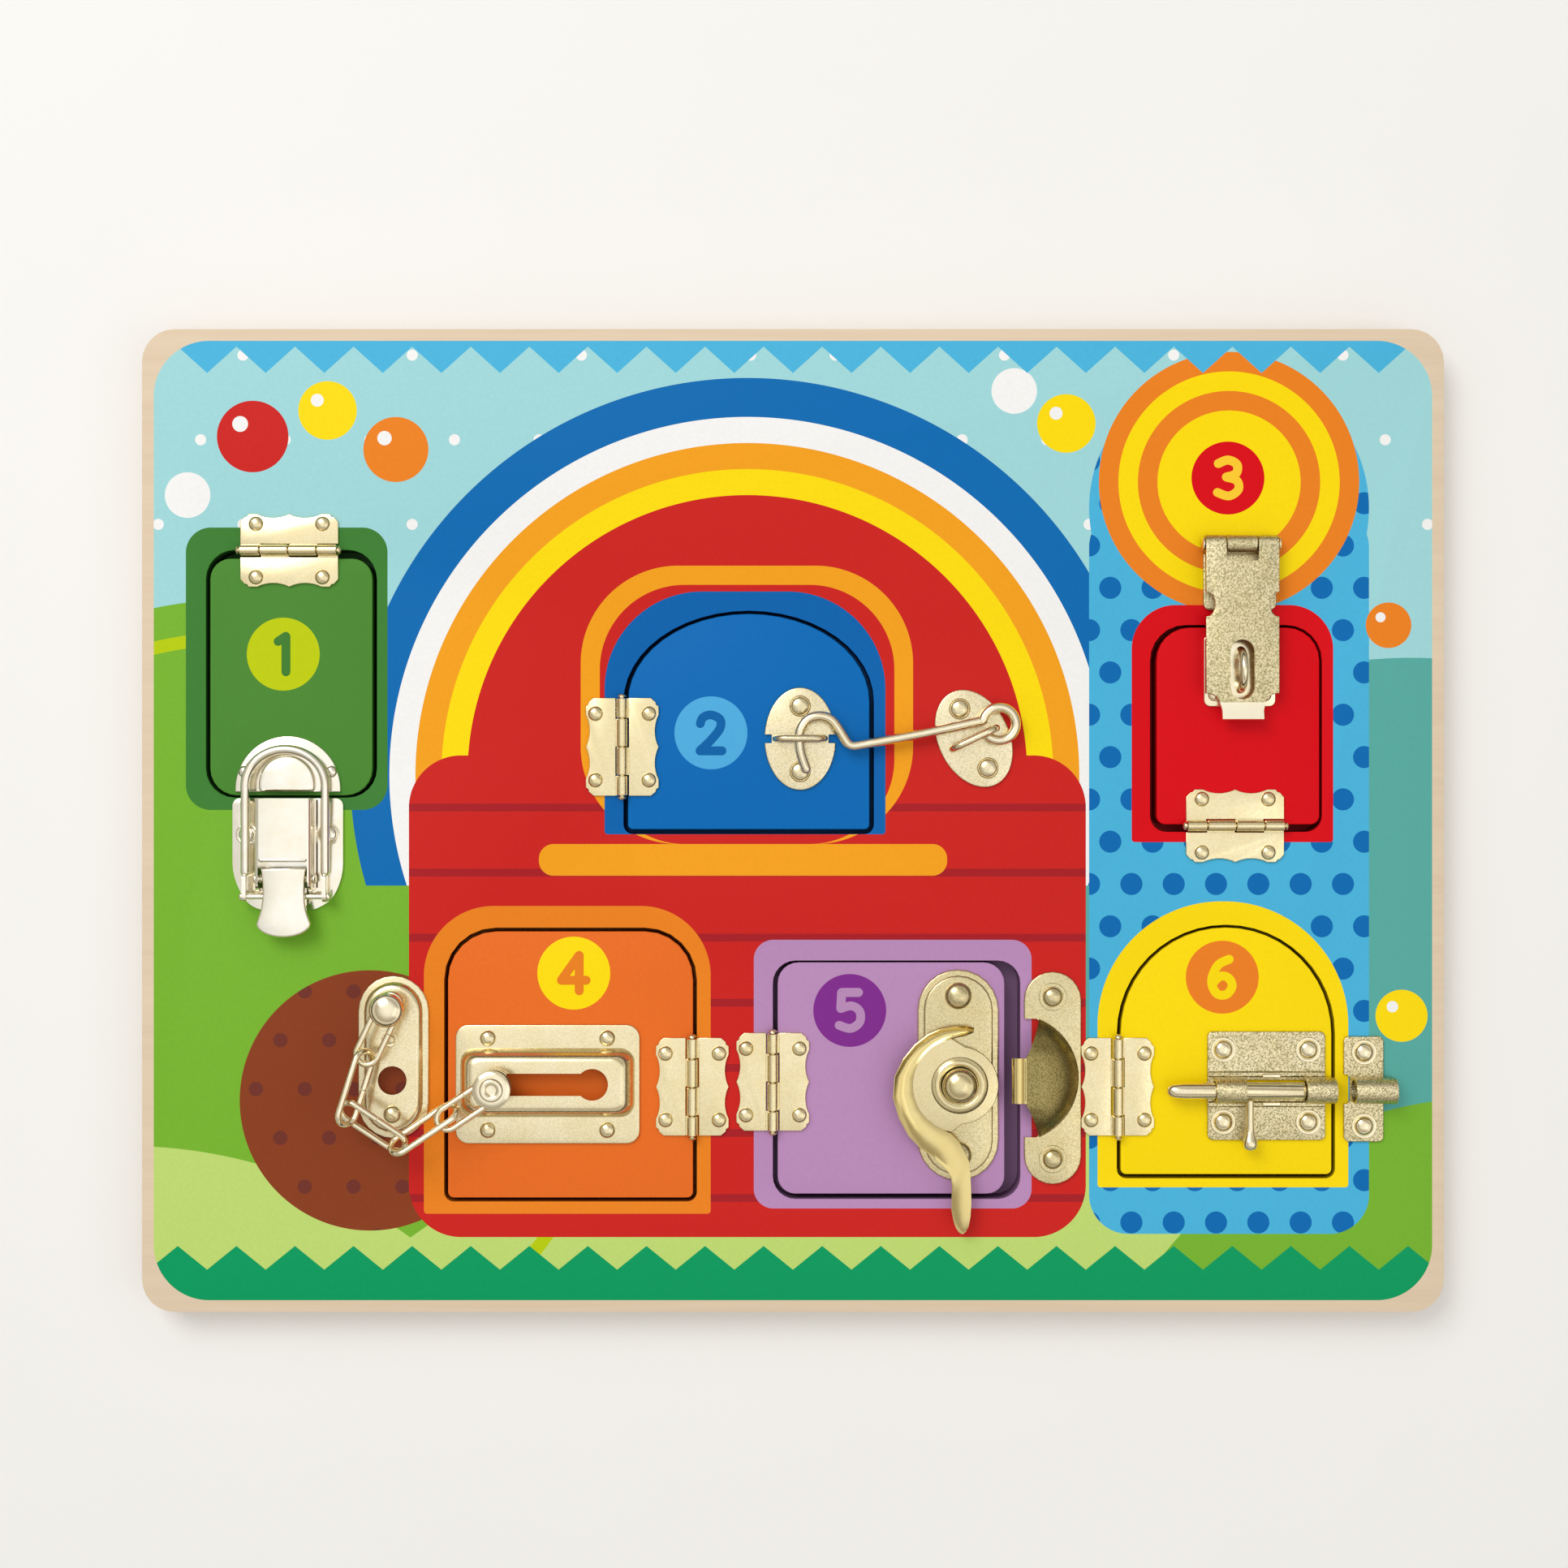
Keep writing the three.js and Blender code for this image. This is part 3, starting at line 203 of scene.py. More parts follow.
def plate(corners, under, top, radius=0.0, edge=0.25):
    """A flat plate from a few corners, rounded in plan and along its upper rim."""
    bm = bmesh.new()
    verts = [bm.verts.new(point) for point in raised(corners, under)]
    bm.faces.new(verts)
    radii = radius if isinstance(radius, list) else [radius] * len(verts)
    for vert, size in zip(verts, radii):
        if size:
            bmesh.ops.bevel(bm, geom=[vert], offset=size, segments=6, profile=0.5, affect="VERTICES",
                            material=-1, clamp_overlap=False)
    grown = bmesh.ops.extrude_face_region(bm, geom=bm.faces[:])["geom"]
    lifted = [item for item in grown if isinstance(item, bmesh.types.BMVert)]
    bmesh.ops.translate(bm, vec=(0, 0, top - under), verts=lifted)
    bmesh.ops.recalc_face_normals(bm, faces=bm.faces)
    if edge:
        round_edges(bm, [e for e in bm.edges if min(v.co.z for v in e.verts) > top - 1e-5], edge)
    return bm


def cutter(left, right, low, high, radius=0.0):
    """A block that cuts an opening through a plate."""
    return plate(box_corners(left, right, low, high), CUT_LOW, CUT_HIGH, radius, 0)


def bar(profile, low, high, radius=0.0, edge=0.0, turn=Matrix()):
    """A section in X and Z, run along Y from low to high, then turned."""
    return placed(plate(profile, -high, -low, radius, edge), turn=turn @ UPRIGHT)


def turned(profile, steps=32):
    """A solid turned about Z from a profile of radius and height."""
    bm = bmesh.new()
    verts = [bm.verts.new((r, 0, z)) for r, z in profile]
    edges = [bm.edges.new(pair) for pair in zip(verts, verts[1:])]
    if profile[0][0] and profile[-1][0]:
        edges.append(bm.edges.new((verts[-1], verts[0])))
    bmesh.ops.spin(bm, geom=verts + edges, cent=(0, 0, 0), axis=(0, 0, 1), dvec=(0, 0, 0),
                   angle=2 * math.pi, steps=steps, use_merge=True, use_duplicate=False)
    bmesh.ops.remove_doubles(bm, verts=bm.verts, dist=1e-4)
    bmesh.ops.recalc_face_normals(bm, faces=bm.faces)
    return bm


def rod(radius, low, high, steps):
    """A plain round rod."""
    return turned([(0, low), (radius, low), (radius, high), (0, high)], steps)


def knuckle(bore, outer, low, high, steps):
    """A rolled knuckle with softened rims."""
    return turned([(bore, low), (outer - 0.2, low), (outer, low + 0.2), (outer, high - 0.2),
                   (outer - 0.2, high), (bore, high)], steps)


def headed(end):
    """A pin from the profile of one end, the same at the other."""
    return turned(flipped(end, 1) + end, 20)


def pin_across(radius, head, half, y, z):
    """A headed pin along X."""
    end = [(radius, half), (head, half), (head, half + 0.3), (head * 0.8, half + 0.65), (0, half + 0.7)]
    return placed(headed(end), 0, y, z, ALONG_X)


def dome(radius, tall, x, y, z):
    """A domed rivet head."""
    profile = [(0, RIVET_SINK), (radius, RIVET_SINK), *arc(0, 0, radius, 0, 75, 5, tall), (0, tall)]
    return placed(turned(profile, 24), x, y, z)


def ringed(ring, head, tall, x, y, z=0.95):
    """A rivet head in a pressed ring."""
    profile = [(0, RIVET_SINK), (ring, RIVET_SINK), (ring, 0.1), (ring * 0.97, 0.3),
               ((ring + head) / 2, 0.42), (head * 1.06, 0.3), (head, 0.25),
               *curve(0, 0.25, head, tall, (20, 40, 60, 76)), (0, 0.25 + tall)]
    return placed(turned(profile, 28), x, y, z)


def loft(rings):
    """A closed skin bridged through rings of the same count and capped at both ends."""
    bm = bmesh.new()
    loops = []
    for ring in rings:
        verts = [bm.verts.new(point) for point in ring]
        loops.append([bm.edges.new((verts[i - 1], verts[i])) for i in range(len(verts))])
    for low, high in zip(loops, loops[1:]):
        bmesh.ops.bridge_loops(bm, edges=low + high)
    for end in (loops[0], loops[-1]):
        bmesh.ops.contextual_create(bm, geom=end)
    bmesh.ops.recalc_face_normals(bm, faces=bm.faces)
    return bm


def sheet(rows, thick):
    """A thin pressed sheet: a grid drawn over rows of points, thickened under its upper side."""
    bm = bmesh.new()
    across = len(rows[0]) - 1
    along = len(rows) - 1
    for vert in bmesh.ops.create_grid(bm, x_segments=across, y_segments=along, size=1)["verts"]:
        row = round((vert.co.y + 1) / 2 * along)
        vert.co = rows[row][round((vert.co.x + 1) / 2 * across)]
    bm.normal_update()
    if sum(face.normal.z * face.calc_area() for face in bm.faces) < 0:
        bmesh.ops.reverse_faces(bm, faces=bm.faces)
    bmesh.ops.solidify(bm, geom=bm.faces[:], thickness=thick)
    bmesh.ops.recalc_face_normals(bm, faces=bm.faces)
    return bm


def extended(bm, edges, matrix):
    """Extrudes a ring of edges, moves the new ring and returns its edges."""
    grown = bmesh.ops.extrude_edge_only(bm, edges=edges)["geom"]
    verts = [item for item in grown if isinstance(item, bmesh.types.BMVert)]
    bmesh.ops.transform(bm, matrix=matrix, verts=verts)
    return [item for item in grown if isinstance(item, bmesh.types.BMEdge)]


def wire(points, radius, sides=12, round_ends=True):
    """Round wire along points, swept by extruding a ring from each point to the next."""
    run = [Vector(point) for point in points]
    ways = [(ahead - behind).normalized() for behind, ahead in zip([run[0], *run], [*run[1:], run[-1]])]
    turns = [Vector((0, 0, 1)).rotation_difference(ways[0])]
    for last, way in zip(ways, ways[1:]):
        turns.append(last.rotation_difference(way) @ turns[-1])
    spots = [Matrix.Translation(p) @ turn.to_matrix().to_4x4() for p, turn in zip(run, turns)]
    bm = bmesh.new()
    ring = bmesh.ops.create_circle(bm, radius=radius, segments=sides, cap_ends=False)["verts"]
    bmesh.ops.transform(bm, matrix=spots[0], verts=ring)
    first = last = bm.edges[:]
    for here, ahead in zip(spots, spots[1:]):
        last = extended(bm, last, ahead @ here.inverted())
    for end, spot, side in ((first, spots[0], -1), (last, spots[-1], 1)):
        for share, reach in ((0.85, 0.5), (0.4, 0.4)) if round_ends else ():
            step = Matrix.Translation((0, 0, side * reach * radius)) @ Matrix.Diagonal((share, share, 1, 1))
            end = extended(bm, end, spot @ step @ spot.inverted())
        bmesh.ops.contextual_create(bm, geom=end)
    bmesh.ops.recalc_face_normals(bm, faces=bm.faces)
    return bm


def gather(*parts):
    """Joins several meshes into the first one."""
    whole = parts[0]
    for part in parts[1:]:
        loose = bpy.data.meshes.new("part")
        part.to_mesh(loose)
        part.free()
        whole.from_mesh(loose)
        bpy.data.meshes.remove(loose)
    return whole


def carved(bm, *cutters, operation="DIFFERENCE"):
    """Cuts a closed mesh with others, or keeps what they share."""
    for block in cutters:
        pair = []
        for source in (bm, block):
            mesh = bpy.data.meshes.new("cut")
            source.to_mesh(mesh)
            source.free()
            item = bpy.data.objects.new("cut", mesh)
            bpy.context.scene.collection.objects.link(item)
            pair.append(item)
        modifier = pair[0].modifiers.new("cut", "BOOLEAN")
        modifier.operation = operation
        modifier.solver = "EXACT"
        modifier.object = pair[1]
        evaluated = pair[0].evaluated_get(bpy.context.evaluated_depsgraph_get())
        bm = bmesh.new()
        bm.from_mesh(evaluated.to_mesh())
        evaluated.to_mesh_clear()
        for item in pair:
            mesh = item.data
            bpy.data.objects.remove(item)
            bpy.data.meshes.remove(mesh)
    return bm


def keep_piece(name, bm, body, material, nodes=()):
    """Makes the object of a mesh in the board's millimetres, on its body and in place of its nodes."""
    bmesh.ops.scale(bm, vec=(MM, MM, MM), verts=bm.verts)
    mesh = bpy.data.meshes.new(name)
    bm.to_mesh(mesh)
    bm.free()
    mesh.polygons.foreach_set("use_smooth", [True] * len(mesh.polygons))
    mesh.set_sharp_from_angle(angle=CREASE)
    piece = bpy.data.objects.new(name, mesh)
    bpy.context.scene.collection.objects.link(piece)
    mesh.materials.append(material)
    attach(piece, body)
    if nodes:
        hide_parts(*nodes)


def add_piece(name, bm, body, material, nodes=(), x=0.0, y=0.0, turn=0.0):
    """Sets a piece of a latch or hinge on the board's face and keeps it."""
    placed(bm, x, y, FACE, Matrix.Rotation(turn, 4, "Z"))
    keep_piece(name, bm, body, material, nodes)


# Materials
class Recipe:
    """A material's nodes, with short calls for the ones that it repeats."""

    def __init__(self, name):
        self.material = bpy.data.materials.new(name)
        self.material.use_nodes = True
        self.tree = self.material.node_tree
        self.shader = next(n for n in self.tree.nodes if n.type == "BSDF_PRINCIPLED")
        self.place = self.vector("MULTIPLY", self.node("TexCoord").outputs["Object"], (1 / MM,) * 3)
        self.flat = self.vector("MULTIPLY", self.place, (1, 1, 0))
        self.x, self.y, self.z = self.node("SeparateXYZ", Vector=self.place).outputs

    def feed(self, socket, value):
        """Links a socket or sets its value."""
        if isinstance(value, bpy.types.NodeSocket):
            self.tree.links.new(value, socket)
        else:
            socket.default_value = value

    def fill(self, node, inputs):
        """Feeds a node's inputs by name."""
        for name, value in inputs.items():
            self.feed(node.inputs[name.replace("_", " ")], value)
        return node

    def node(self, kind, **inputs):
        """A new node with its inputs."""
        return self.fill(self.tree.nodes.new("ShaderNode" + kind), inputs)

    def shade(self, **inputs):
        """Feeds the material's own shader."""
        self.fill(self.shader, inputs)
        return self.material

    def calculate(self, kind, operation, values):
        """A node that calculates, with its inputs in order."""
        node = self.node(kind)
        node.operation = operation
        for socket, value in zip(node.inputs, values):
            self.feed(socket, value)
        return node.outputs

    def math(self, operation, *values):
        """One Math node."""
        return self.calculate("Math", operation, values)[0]

    def vector(self, operation, *values):
        """One Vector Math node."""
        outputs = self.calculate("VectorMath", operation, values)
        return outputs["Value" if operation in {"LENGTH", "DISTANCE"} else "Vector"]

    def noise(self, scale, detail=3.0, rough=0.5, where=None):
        """Noise over the piece, scale in features per millimetre."""
        return self.node("TexNoise", Scale=scale, Detail=detail, Roughness=rough,
                         Vector=where or self.place).outputs["Fac"]

    def stretched(self, *scale):
        """The piece's place, stretched for grain."""
        return self.node("Mapping", Vector=self.place, Scale=scale).outputs[0]

    def blend(self, share, first, second):
        """A mix of two colours."""
        node = self.node("Mix")
        node.data_type = "RGBA"
        self.feed(node.inputs[0], share)
        for socket, value in ((node.inputs[6], first), (node.inputs[7], second)):
            self.feed(socket, value if isinstance(value, bpy.types.NodeSocket) else (*value, 1.0))
        return node.outputs[2]

    def range(self, value, low, high):
        """Noise turned to a range of values."""
        return self.node("MapRange", Value=value, From_Min=0.25, From_Max=0.75, To_Min=low,
                         To_Max=high).outputs[0]

    def bump(self, height, strength, distance):
        """Fine relief on the surface, distance in millimetres."""
        node = self.node("Bump", Strength=strength, Distance=distance * MM, Height=height)
        return self.shade(Normal=node.outputs[0])

    def grey(self, value):
        """A grey colour of one value."""
        return self.node("CombineXYZ", X=value, Y=value, Z=value).outputs[0]

    def more(self, first, second):
        """1 where the first value is above the second."""
        return self.math("GREATER_THAN", first, second)

    # Masks of simple figures, in millimetres
    def disc(self, x, y, radius):
        """Inside a circle."""
        return self.math("LESS_THAN", self.vector("DISTANCE", self.flat, (x, y, 0)), radius)

    def panel(self, left, right, low, high, corner):
        """Inside a rounded rectangle."""
        middle = ((left + right) / 2, (low + high) / 2, 0)
        reach = ((right - left) / 2 - corner, (high - low) / 2 - corner, 0)
        away = self.vector("ABSOLUTE", self.vector("SUBTRACT", self.flat, middle))
        out = self.vector("MAXIMUM", self.vector("SUBTRACT", away, reach), (0, 0, 0))
        return self.math("LESS_THAN", self.vector("LENGTH", out), corner)

    def photo_panel(self, left, right, top, low, corner):
        """Inside a rounded rectangle whose edges are pixels of the photograph."""
        left, high = from_photo(left, top)
        right, low = from_photo(right, low)
        return self.panel(left, right, low, high, corner)

    def surround(self, left, right, top, low, corner, foot_corner):
        """Inside a doorway's plain frame, from its edges by pixel and its upper and lower corner radii."""
        return self.math("MAXIMUM", self.photo_panel(left, right, top, low, corner),
                         self.photo_panel(left, right, (top + low) / 2, low, foot_corner))

    def both(self, first, second):
        """Inside both figures."""
        return self.math("MULTIPLY", first, second)

    def dots(self, pitch, radius):
        """A grid of dots in offset rows."""
        row = self.math("FLOOR", self.math("DIVIDE", self.y, pitch))
        shift = self.math("MULTIPLY", row, pitch / 2)
        across = self.math("PINGPONG", self.math("ADD", self.x, shift), pitch / 2)
        up = self.math("SUBTRACT", self.math("FLOORED_MODULO", self.y, pitch), pitch / 2)
        far = self.math("ADD", self.math("MULTIPLY", across, across), self.math("MULTIPLY", up, up))
        return self.math("LESS_THAN", far, radius * radius)


def tint(colour, *shares):
    """A colour with its three values scaled."""
    return tuple(c * share for c, share in zip(colour, shares))


# Platings: how stippled, how rough, how pale and how bright each one is. The keeper hood's dark plating is
# painted shade, the lip's bright plating is a painted highlight, and the golden cam flange plating is painted
# reflection
PLATINGS = {
    "hinge": (0.15, 0.22, 1.1, 1.0),
    "toggle": (0.0, 0.16, 0.35, 1.0),
    "eye": (0.35, 0.24, 0.95, 1.0),
    "hook": (0.0, 0.17, 0.8, 1.0),
    "hasp": (0.9, 0.28, 1.05, 0.94),
    "staple": (0.0, 0.16, 0.8, 1.0),
    # Lip: paler and brighter than the hasp's own plating, a painted highlight where the bent-up end faces the
    # light
    "lip": (0.0, 0.4, 0.6, 1.1),
    "chain": (0.0, 0.16, 0.8, 1.0),
    "guard": (0.2, 0.22, 1.0, 1.0),
    "cam": (0.35, 0.24, 1.2, 0.86),
    "cam_bright": (0.12, 0.2, 1.2, 0.9),
    # Cam flange, also on the keeper's curl: a more golden copy of the plating, painted reflection of brass
    # into the concave sweep and curl
    "cam_flange": (0.0, 0.16, 1.5, 0.94),
    # Keeper hood: the keeper's plating darkened to 0.42, painted shade on the scooped hood
    "keeper_hood": (0.7, 0.16, 1.6, 0.42),
    "bolt": (0.95, 0.26, 1.0, 1.0),
    "bar": (0.12, 0.18, 0.9, 1.0),
}


def plating(name):
    """Pale brass plating: smooth, or stippled where the steel was tumbled."""
    grain, rough, pale, shade = PLATINGS[name]
    recipe = Recipe(name + "_plating")
    cream = tuple(shade * (1 - (1 - c) * pale) for c in bpy.context.scene.latch_colours.gold)
    cloud = recipe.range(recipe.noise(0.12, 3.0, 0.6), 0.0, 0.8)
    ground = recipe.blend(cloud, cream, tint(cream, 0.93, 0.88, 0.74))
    fine = recipe.noise(1.9, 4.0, 0.75)
    if grain:
        pits = recipe.math("MINIMUM", recipe.math("MAXIMUM", recipe.range(fine, -1.6, 2.4), 0.0), 1.0)
        ground = recipe.blend(recipe.both(pits, grain), ground, tint(cream, 0.36, 0.36, 0.22))
    recipe.bump(fine, 0.1 + 0.8 * grain, 0.03 + 0.12 * grain)
    return recipe.shade(Base_Color=ground, Metallic=1.0,
                        Roughness=recipe.range(fine, rough - 0.05, rough + 0.1))


def plywood_colour(recipe):
    """Bare plywood: long grain on the faces and plies along the edges."""
    wood = bpy.context.scene.latch_colours.plywood
    grain = recipe.noise(1.0, 6.0, 0.62, recipe.stretched(0.02, 0.55, 0.3))
    streak = recipe.noise(1.0, 3.0, 0.5, recipe.stretched(0.008, 0.16, 0.1))
    faces = recipe.blend(grain, wood, tint(wood, 0.84, 0.78, 0.70))
    pale = tuple(min(1.0, c * 1.12) for c in wood)
    faces = recipe.blend(recipe.both(streak, 0.5), faces, pale)
    plies = recipe.more(recipe.math("PINGPONG", recipe.z, PLY), PLY / 2)
    side = recipe.more(FACE - PLIES_UNDER, recipe.z)
    share = recipe.both(recipe.both(plies, side), recipe.range(grain, 0.35, 0.75))
    return recipe.blend(share, faces, tint(wood, 0.72, 0.62, 0.50)), grain


def printed(recipe, ink, inside):
    """Plywood whose upper face is printed and varnished inside a mask."""
    wood, grain = plywood_colour(recipe)
    top = recipe.more(recipe.z, FACE - INK_DEPTH)
    mottle = recipe.range(recipe.noise(0.9, 4.0, 0.6), 0.97, 1.03)
    # Under the face, on door sides and doorway walls, the ink drops to 0.3 to 0.6 with speckles: partly a
    # dark dye on the cut edges, partly painted shade that darkens the narrow gaps
    speck = recipe.range(recipe.noise(3.0, 2.0, 0.5), 0.3, 0.6)
    shaded = recipe.vector("MULTIPLY", ink, recipe.blend(top, recipe.grey(speck), recipe.grey(mottle)))
    varnish = recipe.math("SUBTRACT", 0.75, recipe.both(recipe.both(top, inside), 0.25))
    recipe.bump(grain, 0.25, 0.05)
    return recipe.shade(Base_Color=recipe.blend(inside, wood, shaded), Roughness=varnish,
                        Specular_IOR_Level=0.12)


# Doors: slot, badge's pixel, and the colours of door, badge and digit
DOORS = [
    ("green_door", (349, 806), (0.075, 0.26, 0.035), (0.53, 0.63, 0.0), (0.055, 0.22, 0.03)),
    ("blue_door", (876, 903), (0.0, 0.15, 0.50), (0.08, 0.43, 0.79), (0.0, 0.13, 0.42)),
    ("red_door", (1513, 589), (0.72, 0.0, 0.006), (0.72, 0.0, 0.006), (1.0, 0.62, 0.03)),
    ("orange_door", (707, 1199), (0.84, 0.165, 0.018), (1.0, 0.74, 0.0), (0.86, 0.23, 0.013)),
    ("purple_door", (1047, 1245), (0.50, 0.27, 0.52), (0.22, 0.025, 0.28), (0.50, 0.27, 0.52)),
    ("yellow_door", (1506, 1204), (1.0, 0.74, 0.0), (0.86, 0.22, 0.015), (1.0, 0.74, 0.0)),
]
# The door whose badge is printed on the board above it
BADGE_ON_BOARD = 3

# Strokes of the numbers from 1 to 6, as shares of a number's height
NUMBERS = [
    [[(-0.12, 0.28), (0.06, 0.4)], [(0.06, 0.4), (0.06, -0.4)]],
    [[(-0.24, 0.2), (-0.18, 0.34), (0.0, 0.4), (0.2, 0.3), (0.2, 0.1), (0.0, -0.16), (-0.25, -0.4)],
     [(-0.25, -0.4), (0.25, -0.4)]],
    [[(-0.22, 0.32), (0.0, 0.4), (0.2, 0.3), (0.18, 0.1), (-0.04, 0.02)],
     [(-0.04, 0.02), (0.2, -0.06), (0.23, -0.26), (0.02, -0.4), (-0.24, -0.32)]],
    [[(0.12, -0.4), (0.12, 0.4)], [(0.12, 0.4), (-0.28, -0.16)], [(-0.28, -0.16), (0.28, -0.16)]],
    [[(0.2, 0.4), (-0.18, 0.4)], [(-0.18, 0.4), (-0.2, 0.04)],
     [(-0.2, 0.04), (0.04, 0.1), (0.22, -0.02), (0.22, -0.26), (0.02, -0.4), (-0.24, -0.33)]],
    [[(0.16, 0.4), (-0.08, 0.28), (-0.22, 0.02), (-0.22, -0.2), (-0.1, -0.38), (0.1, -0.38), (0.22, -0.2),
      (0.14, -0.02), (-0.04, 0.02), (-0.2, -0.12)]],
]

# Plain frames printed round the doorways: edges by pixel, upper and lower corner radii, and colour
FRAMES = [
    (229, 477.5, 650, 998, 7.7, 7.7, (0.05, 0.22, 0.035)),
    (744.9, 1091, 728.8, 1028, 30.0, 1.0, (0.0, 0.13, 0.45)),
    (1394.4, 1642.6, 745.5, 1037.6, 13.5, 1.0, (0.72, 0.0, 0.006)),
    (522.3, 875.6, 1116.3, 1495.5, 21.4, 1.0, (0.86, 0.235, 0.013)),
    (928.8, 1271, 1158, 1489, 6.0, 6.0, (0.50, 0.27, 0.52)),
    (1352.3, 1661.3, 1110.6, 1463, 38.0, 1.0, (1.0, 0.74, 0.0)),
]


def printed_face():
    """The board's print: hills, arcs, bunting, balloons and dots in flat colours."""
    recipe = Recipe("printed_face")
    c = bpy.context.scene.latch_colours
    s = bpy.context.scene.latch_sizes
    white = (0.93, 0.93, 0.93)
    ink = recipe.blend(recipe.dots(26.0, 1.7), c.sky, white)

    def over(mask, colour):
        nonlocal ink
        ink = recipe.blend(mask, ink, colour)

    def discs(rows):
        for x, y, radius, colour in rows:
            over(recipe.disc(x, y, radius), colour)

    # Hills from large circles, one with a line inside its edge and one with dots
    discs(((190, -100, 150, (0.10, 0.42, 0.38)), (-170, -60, 128, c.leaf), (30, -330, 250, c.grass),
           (-205, -250, 150, c.grass), (215, -215, 130, c.leaf)))
    over(recipe.math("SUBTRACT", recipe.disc(-170, -60, 118), recipe.disc(-170, -60, 114)), (0.48, 0.62, 0.0))
    mound = recipe.disc(-130, -86, 40)
    over(mound, (0.26, 0.05, 0.013))
    over(recipe.both(mound, recipe.dots(15.0, 2.2)), (0.17, 0.033, 0.022))

    # Arcs over the large block
    for radius, colour in ((122, c.blue), (110, white), (102, c.amber), (94, c.yellow), (86, c.red)):
        over(recipe.both(recipe.disc(-14, 14, radius), recipe.more(recipe.y, -20.0)), colour)
    block = recipe.panel(-118, 90, -128, 20, 16)
    over(block, c.red)
    stripe = recipe.more(recipe.math("PINGPONG", recipe.math("ADD", recipe.y, 6.0), 10.0), 8.8)
    over(recipe.both(block, stripe), (0.40, 0.012, 0.018))

    # Column behind doors 3 and 6, with a round top and dots
    column = recipe.math("MAXIMUM", recipe.panel(91, 177, -127, 96, 12), recipe.disc(134, 96, 43))
    over(column, c.pale_blue)
    over(recipe.both(column, recipe.dots(13.0, 3.4)), c.blue)
    discs((134, 104, radius, colour) for radius, colour in
          ((40, c.orange), (34, c.yellow), (28, c.orange), (22, c.yellow)))

    # Balloons with a spot of light, and bunting along the top and bottom
    for x, y, radius, colour in ((-166, 118, 11, c.red), (-143, 126, 9, c.yellow), (-122, 114, 10, c.orange),
                                 (84, 122, 9, c.yellow), (68, 132, 7, white), (183, 60, 7, c.orange),
                                 (-186, 100, 7, white), (187, -60, 8, c.yellow)):
        discs(((x, y, radius, colour), (x - radius * 0.35, y + radius * 0.35, radius * 0.22, white)))
    saw = recipe.both(recipe.math("PINGPONG", recipe.x, 9.0), 0.9)
    over(recipe.more(recipe.y, recipe.math("ADD", saw, 137.5)), c.pale_blue)
    over(recipe.more(-138.0, recipe.math("SUBTRACT", recipe.y, recipe.both(saw, 0.9))), c.deep_green)

    # Plain frames round the doorways, and the badge over door 3
    for *edges, colour in ((715.5, 1125, 697, 1040, 30.0, c.amber), (739, 1102, 720.6, 1040, 26.0, c.red),
                           (664, 1167, 1040, 1079, 4.5, c.amber)):
        over(recipe.photo_panel(*edges), colour)
    for *edges, colour in FRAMES:
        over(recipe.surround(*edges), colour)
    _, pixel, _, badge, _ = DOORS[BADGE_ON_BOARD - 1]
    over(recipe.disc(*from_photo(*pixel), s.badge), badge)
    inside = recipe.panel(BOARD_LOW.x + s.print_margin, BOARD_HIGH.x - s.print_margin,
                          BOARD_LOW.y + s.print_margin, BOARD_HIGH.y - s.print_margin, s.print_corner)
    return printed(recipe, ink, inside)


def painted_floors():
    """Bare plywood with a darker shade of each frame's colour on the floor of its doorway."""
    recipe = Recipe("bare_plywood")
    colour, grain = plywood_colour(recipe)
    speck = recipe.grey(recipe.range(recipe.noise(3.0, 2.0, 0.5), 0.5, 0.72))
    above = recipe.more(recipe.z, FLOOR_TOP - INK_DEPTH)
    for *edges, ink in FRAMES:
        colour = recipe.blend(recipe.both(above, recipe.surround(*edges)), colour,
                              recipe.vector("MULTIPLY", ink, speck))
    recipe.bump(grain, 0.35, 0.08)
    return recipe.shade(Base_Color=colour, Roughness=0.72)


def door_print(name, colour, badge, at):
    """A door's print: one flat colour, with its badge, if it has one, on the upper side."""
    recipe = Recipe(name)
    if at:
        mask = recipe.both(recipe.disc(*at, bpy.context.scene.latch_sizes.badge),
                           recipe.more(recipe.z, FACE - BADGE_DEPTH))
        colour = recipe.blend(mask, colour, badge)
    return printed(recipe, colour, 1.0)


def number_ink(name, colour):
    """The ink of a number."""
    recipe = Recipe(name)
    ink = recipe.blend(recipe.noise(0.9, 4.0, 0.6), colour, tint(colour, 0.96, 0.96, 0.96))
    recipe.bump(recipe.noise(1.2), 0.2, 0.03)
    return recipe.shade(Base_Color=ink, Roughness=0.5, Specular_IOR_Level=0.12)


def soften(name, material, width, body):
    """A panel or door from its node, with rounded edges."""
    bm = bmesh.new()
    bm.from_mesh(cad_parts[name].data)
    bmesh.ops.scale(bm, vec=(1 / MM,) * 3, verts=bm.verts)
    bmesh.ops.remove_doubles(bm, verts=bm.verts, dist=1e-3)
    bmesh.ops.dissolve_limit(bm, angle_limit=math.radians(1), verts=bm.verts, edges=bm.edges)
    sharp = [e for e in bm.edges if len(e.link_faces) == 2 and e.calc_face_angle(0) > math.radians(60)
             and abs(e.verts[0].co.z - e.verts[1].co.z) < 1e-3]
    round_edges(bm, sharp, width)
    bmesh.ops.triangulate(bm, faces=bm.faces)
    keep_piece(name + "_wood", bm, body, material, [name])


# Operators
class LATCHBOARD_OT_board(bpy.types.Operator):
    """Makes the back panel and the printed front panel"""
    bl_idname = "latchboard.board"
    bl_label = "Board"

    def execute(self, context):
        edge = context.scene.latch_sizes.wood_edge
        soften("back_panel", painted_floors(), edge, "board")
        soften("front_panel", printed_face(), edge, "board")
        return {"FINISHED"}


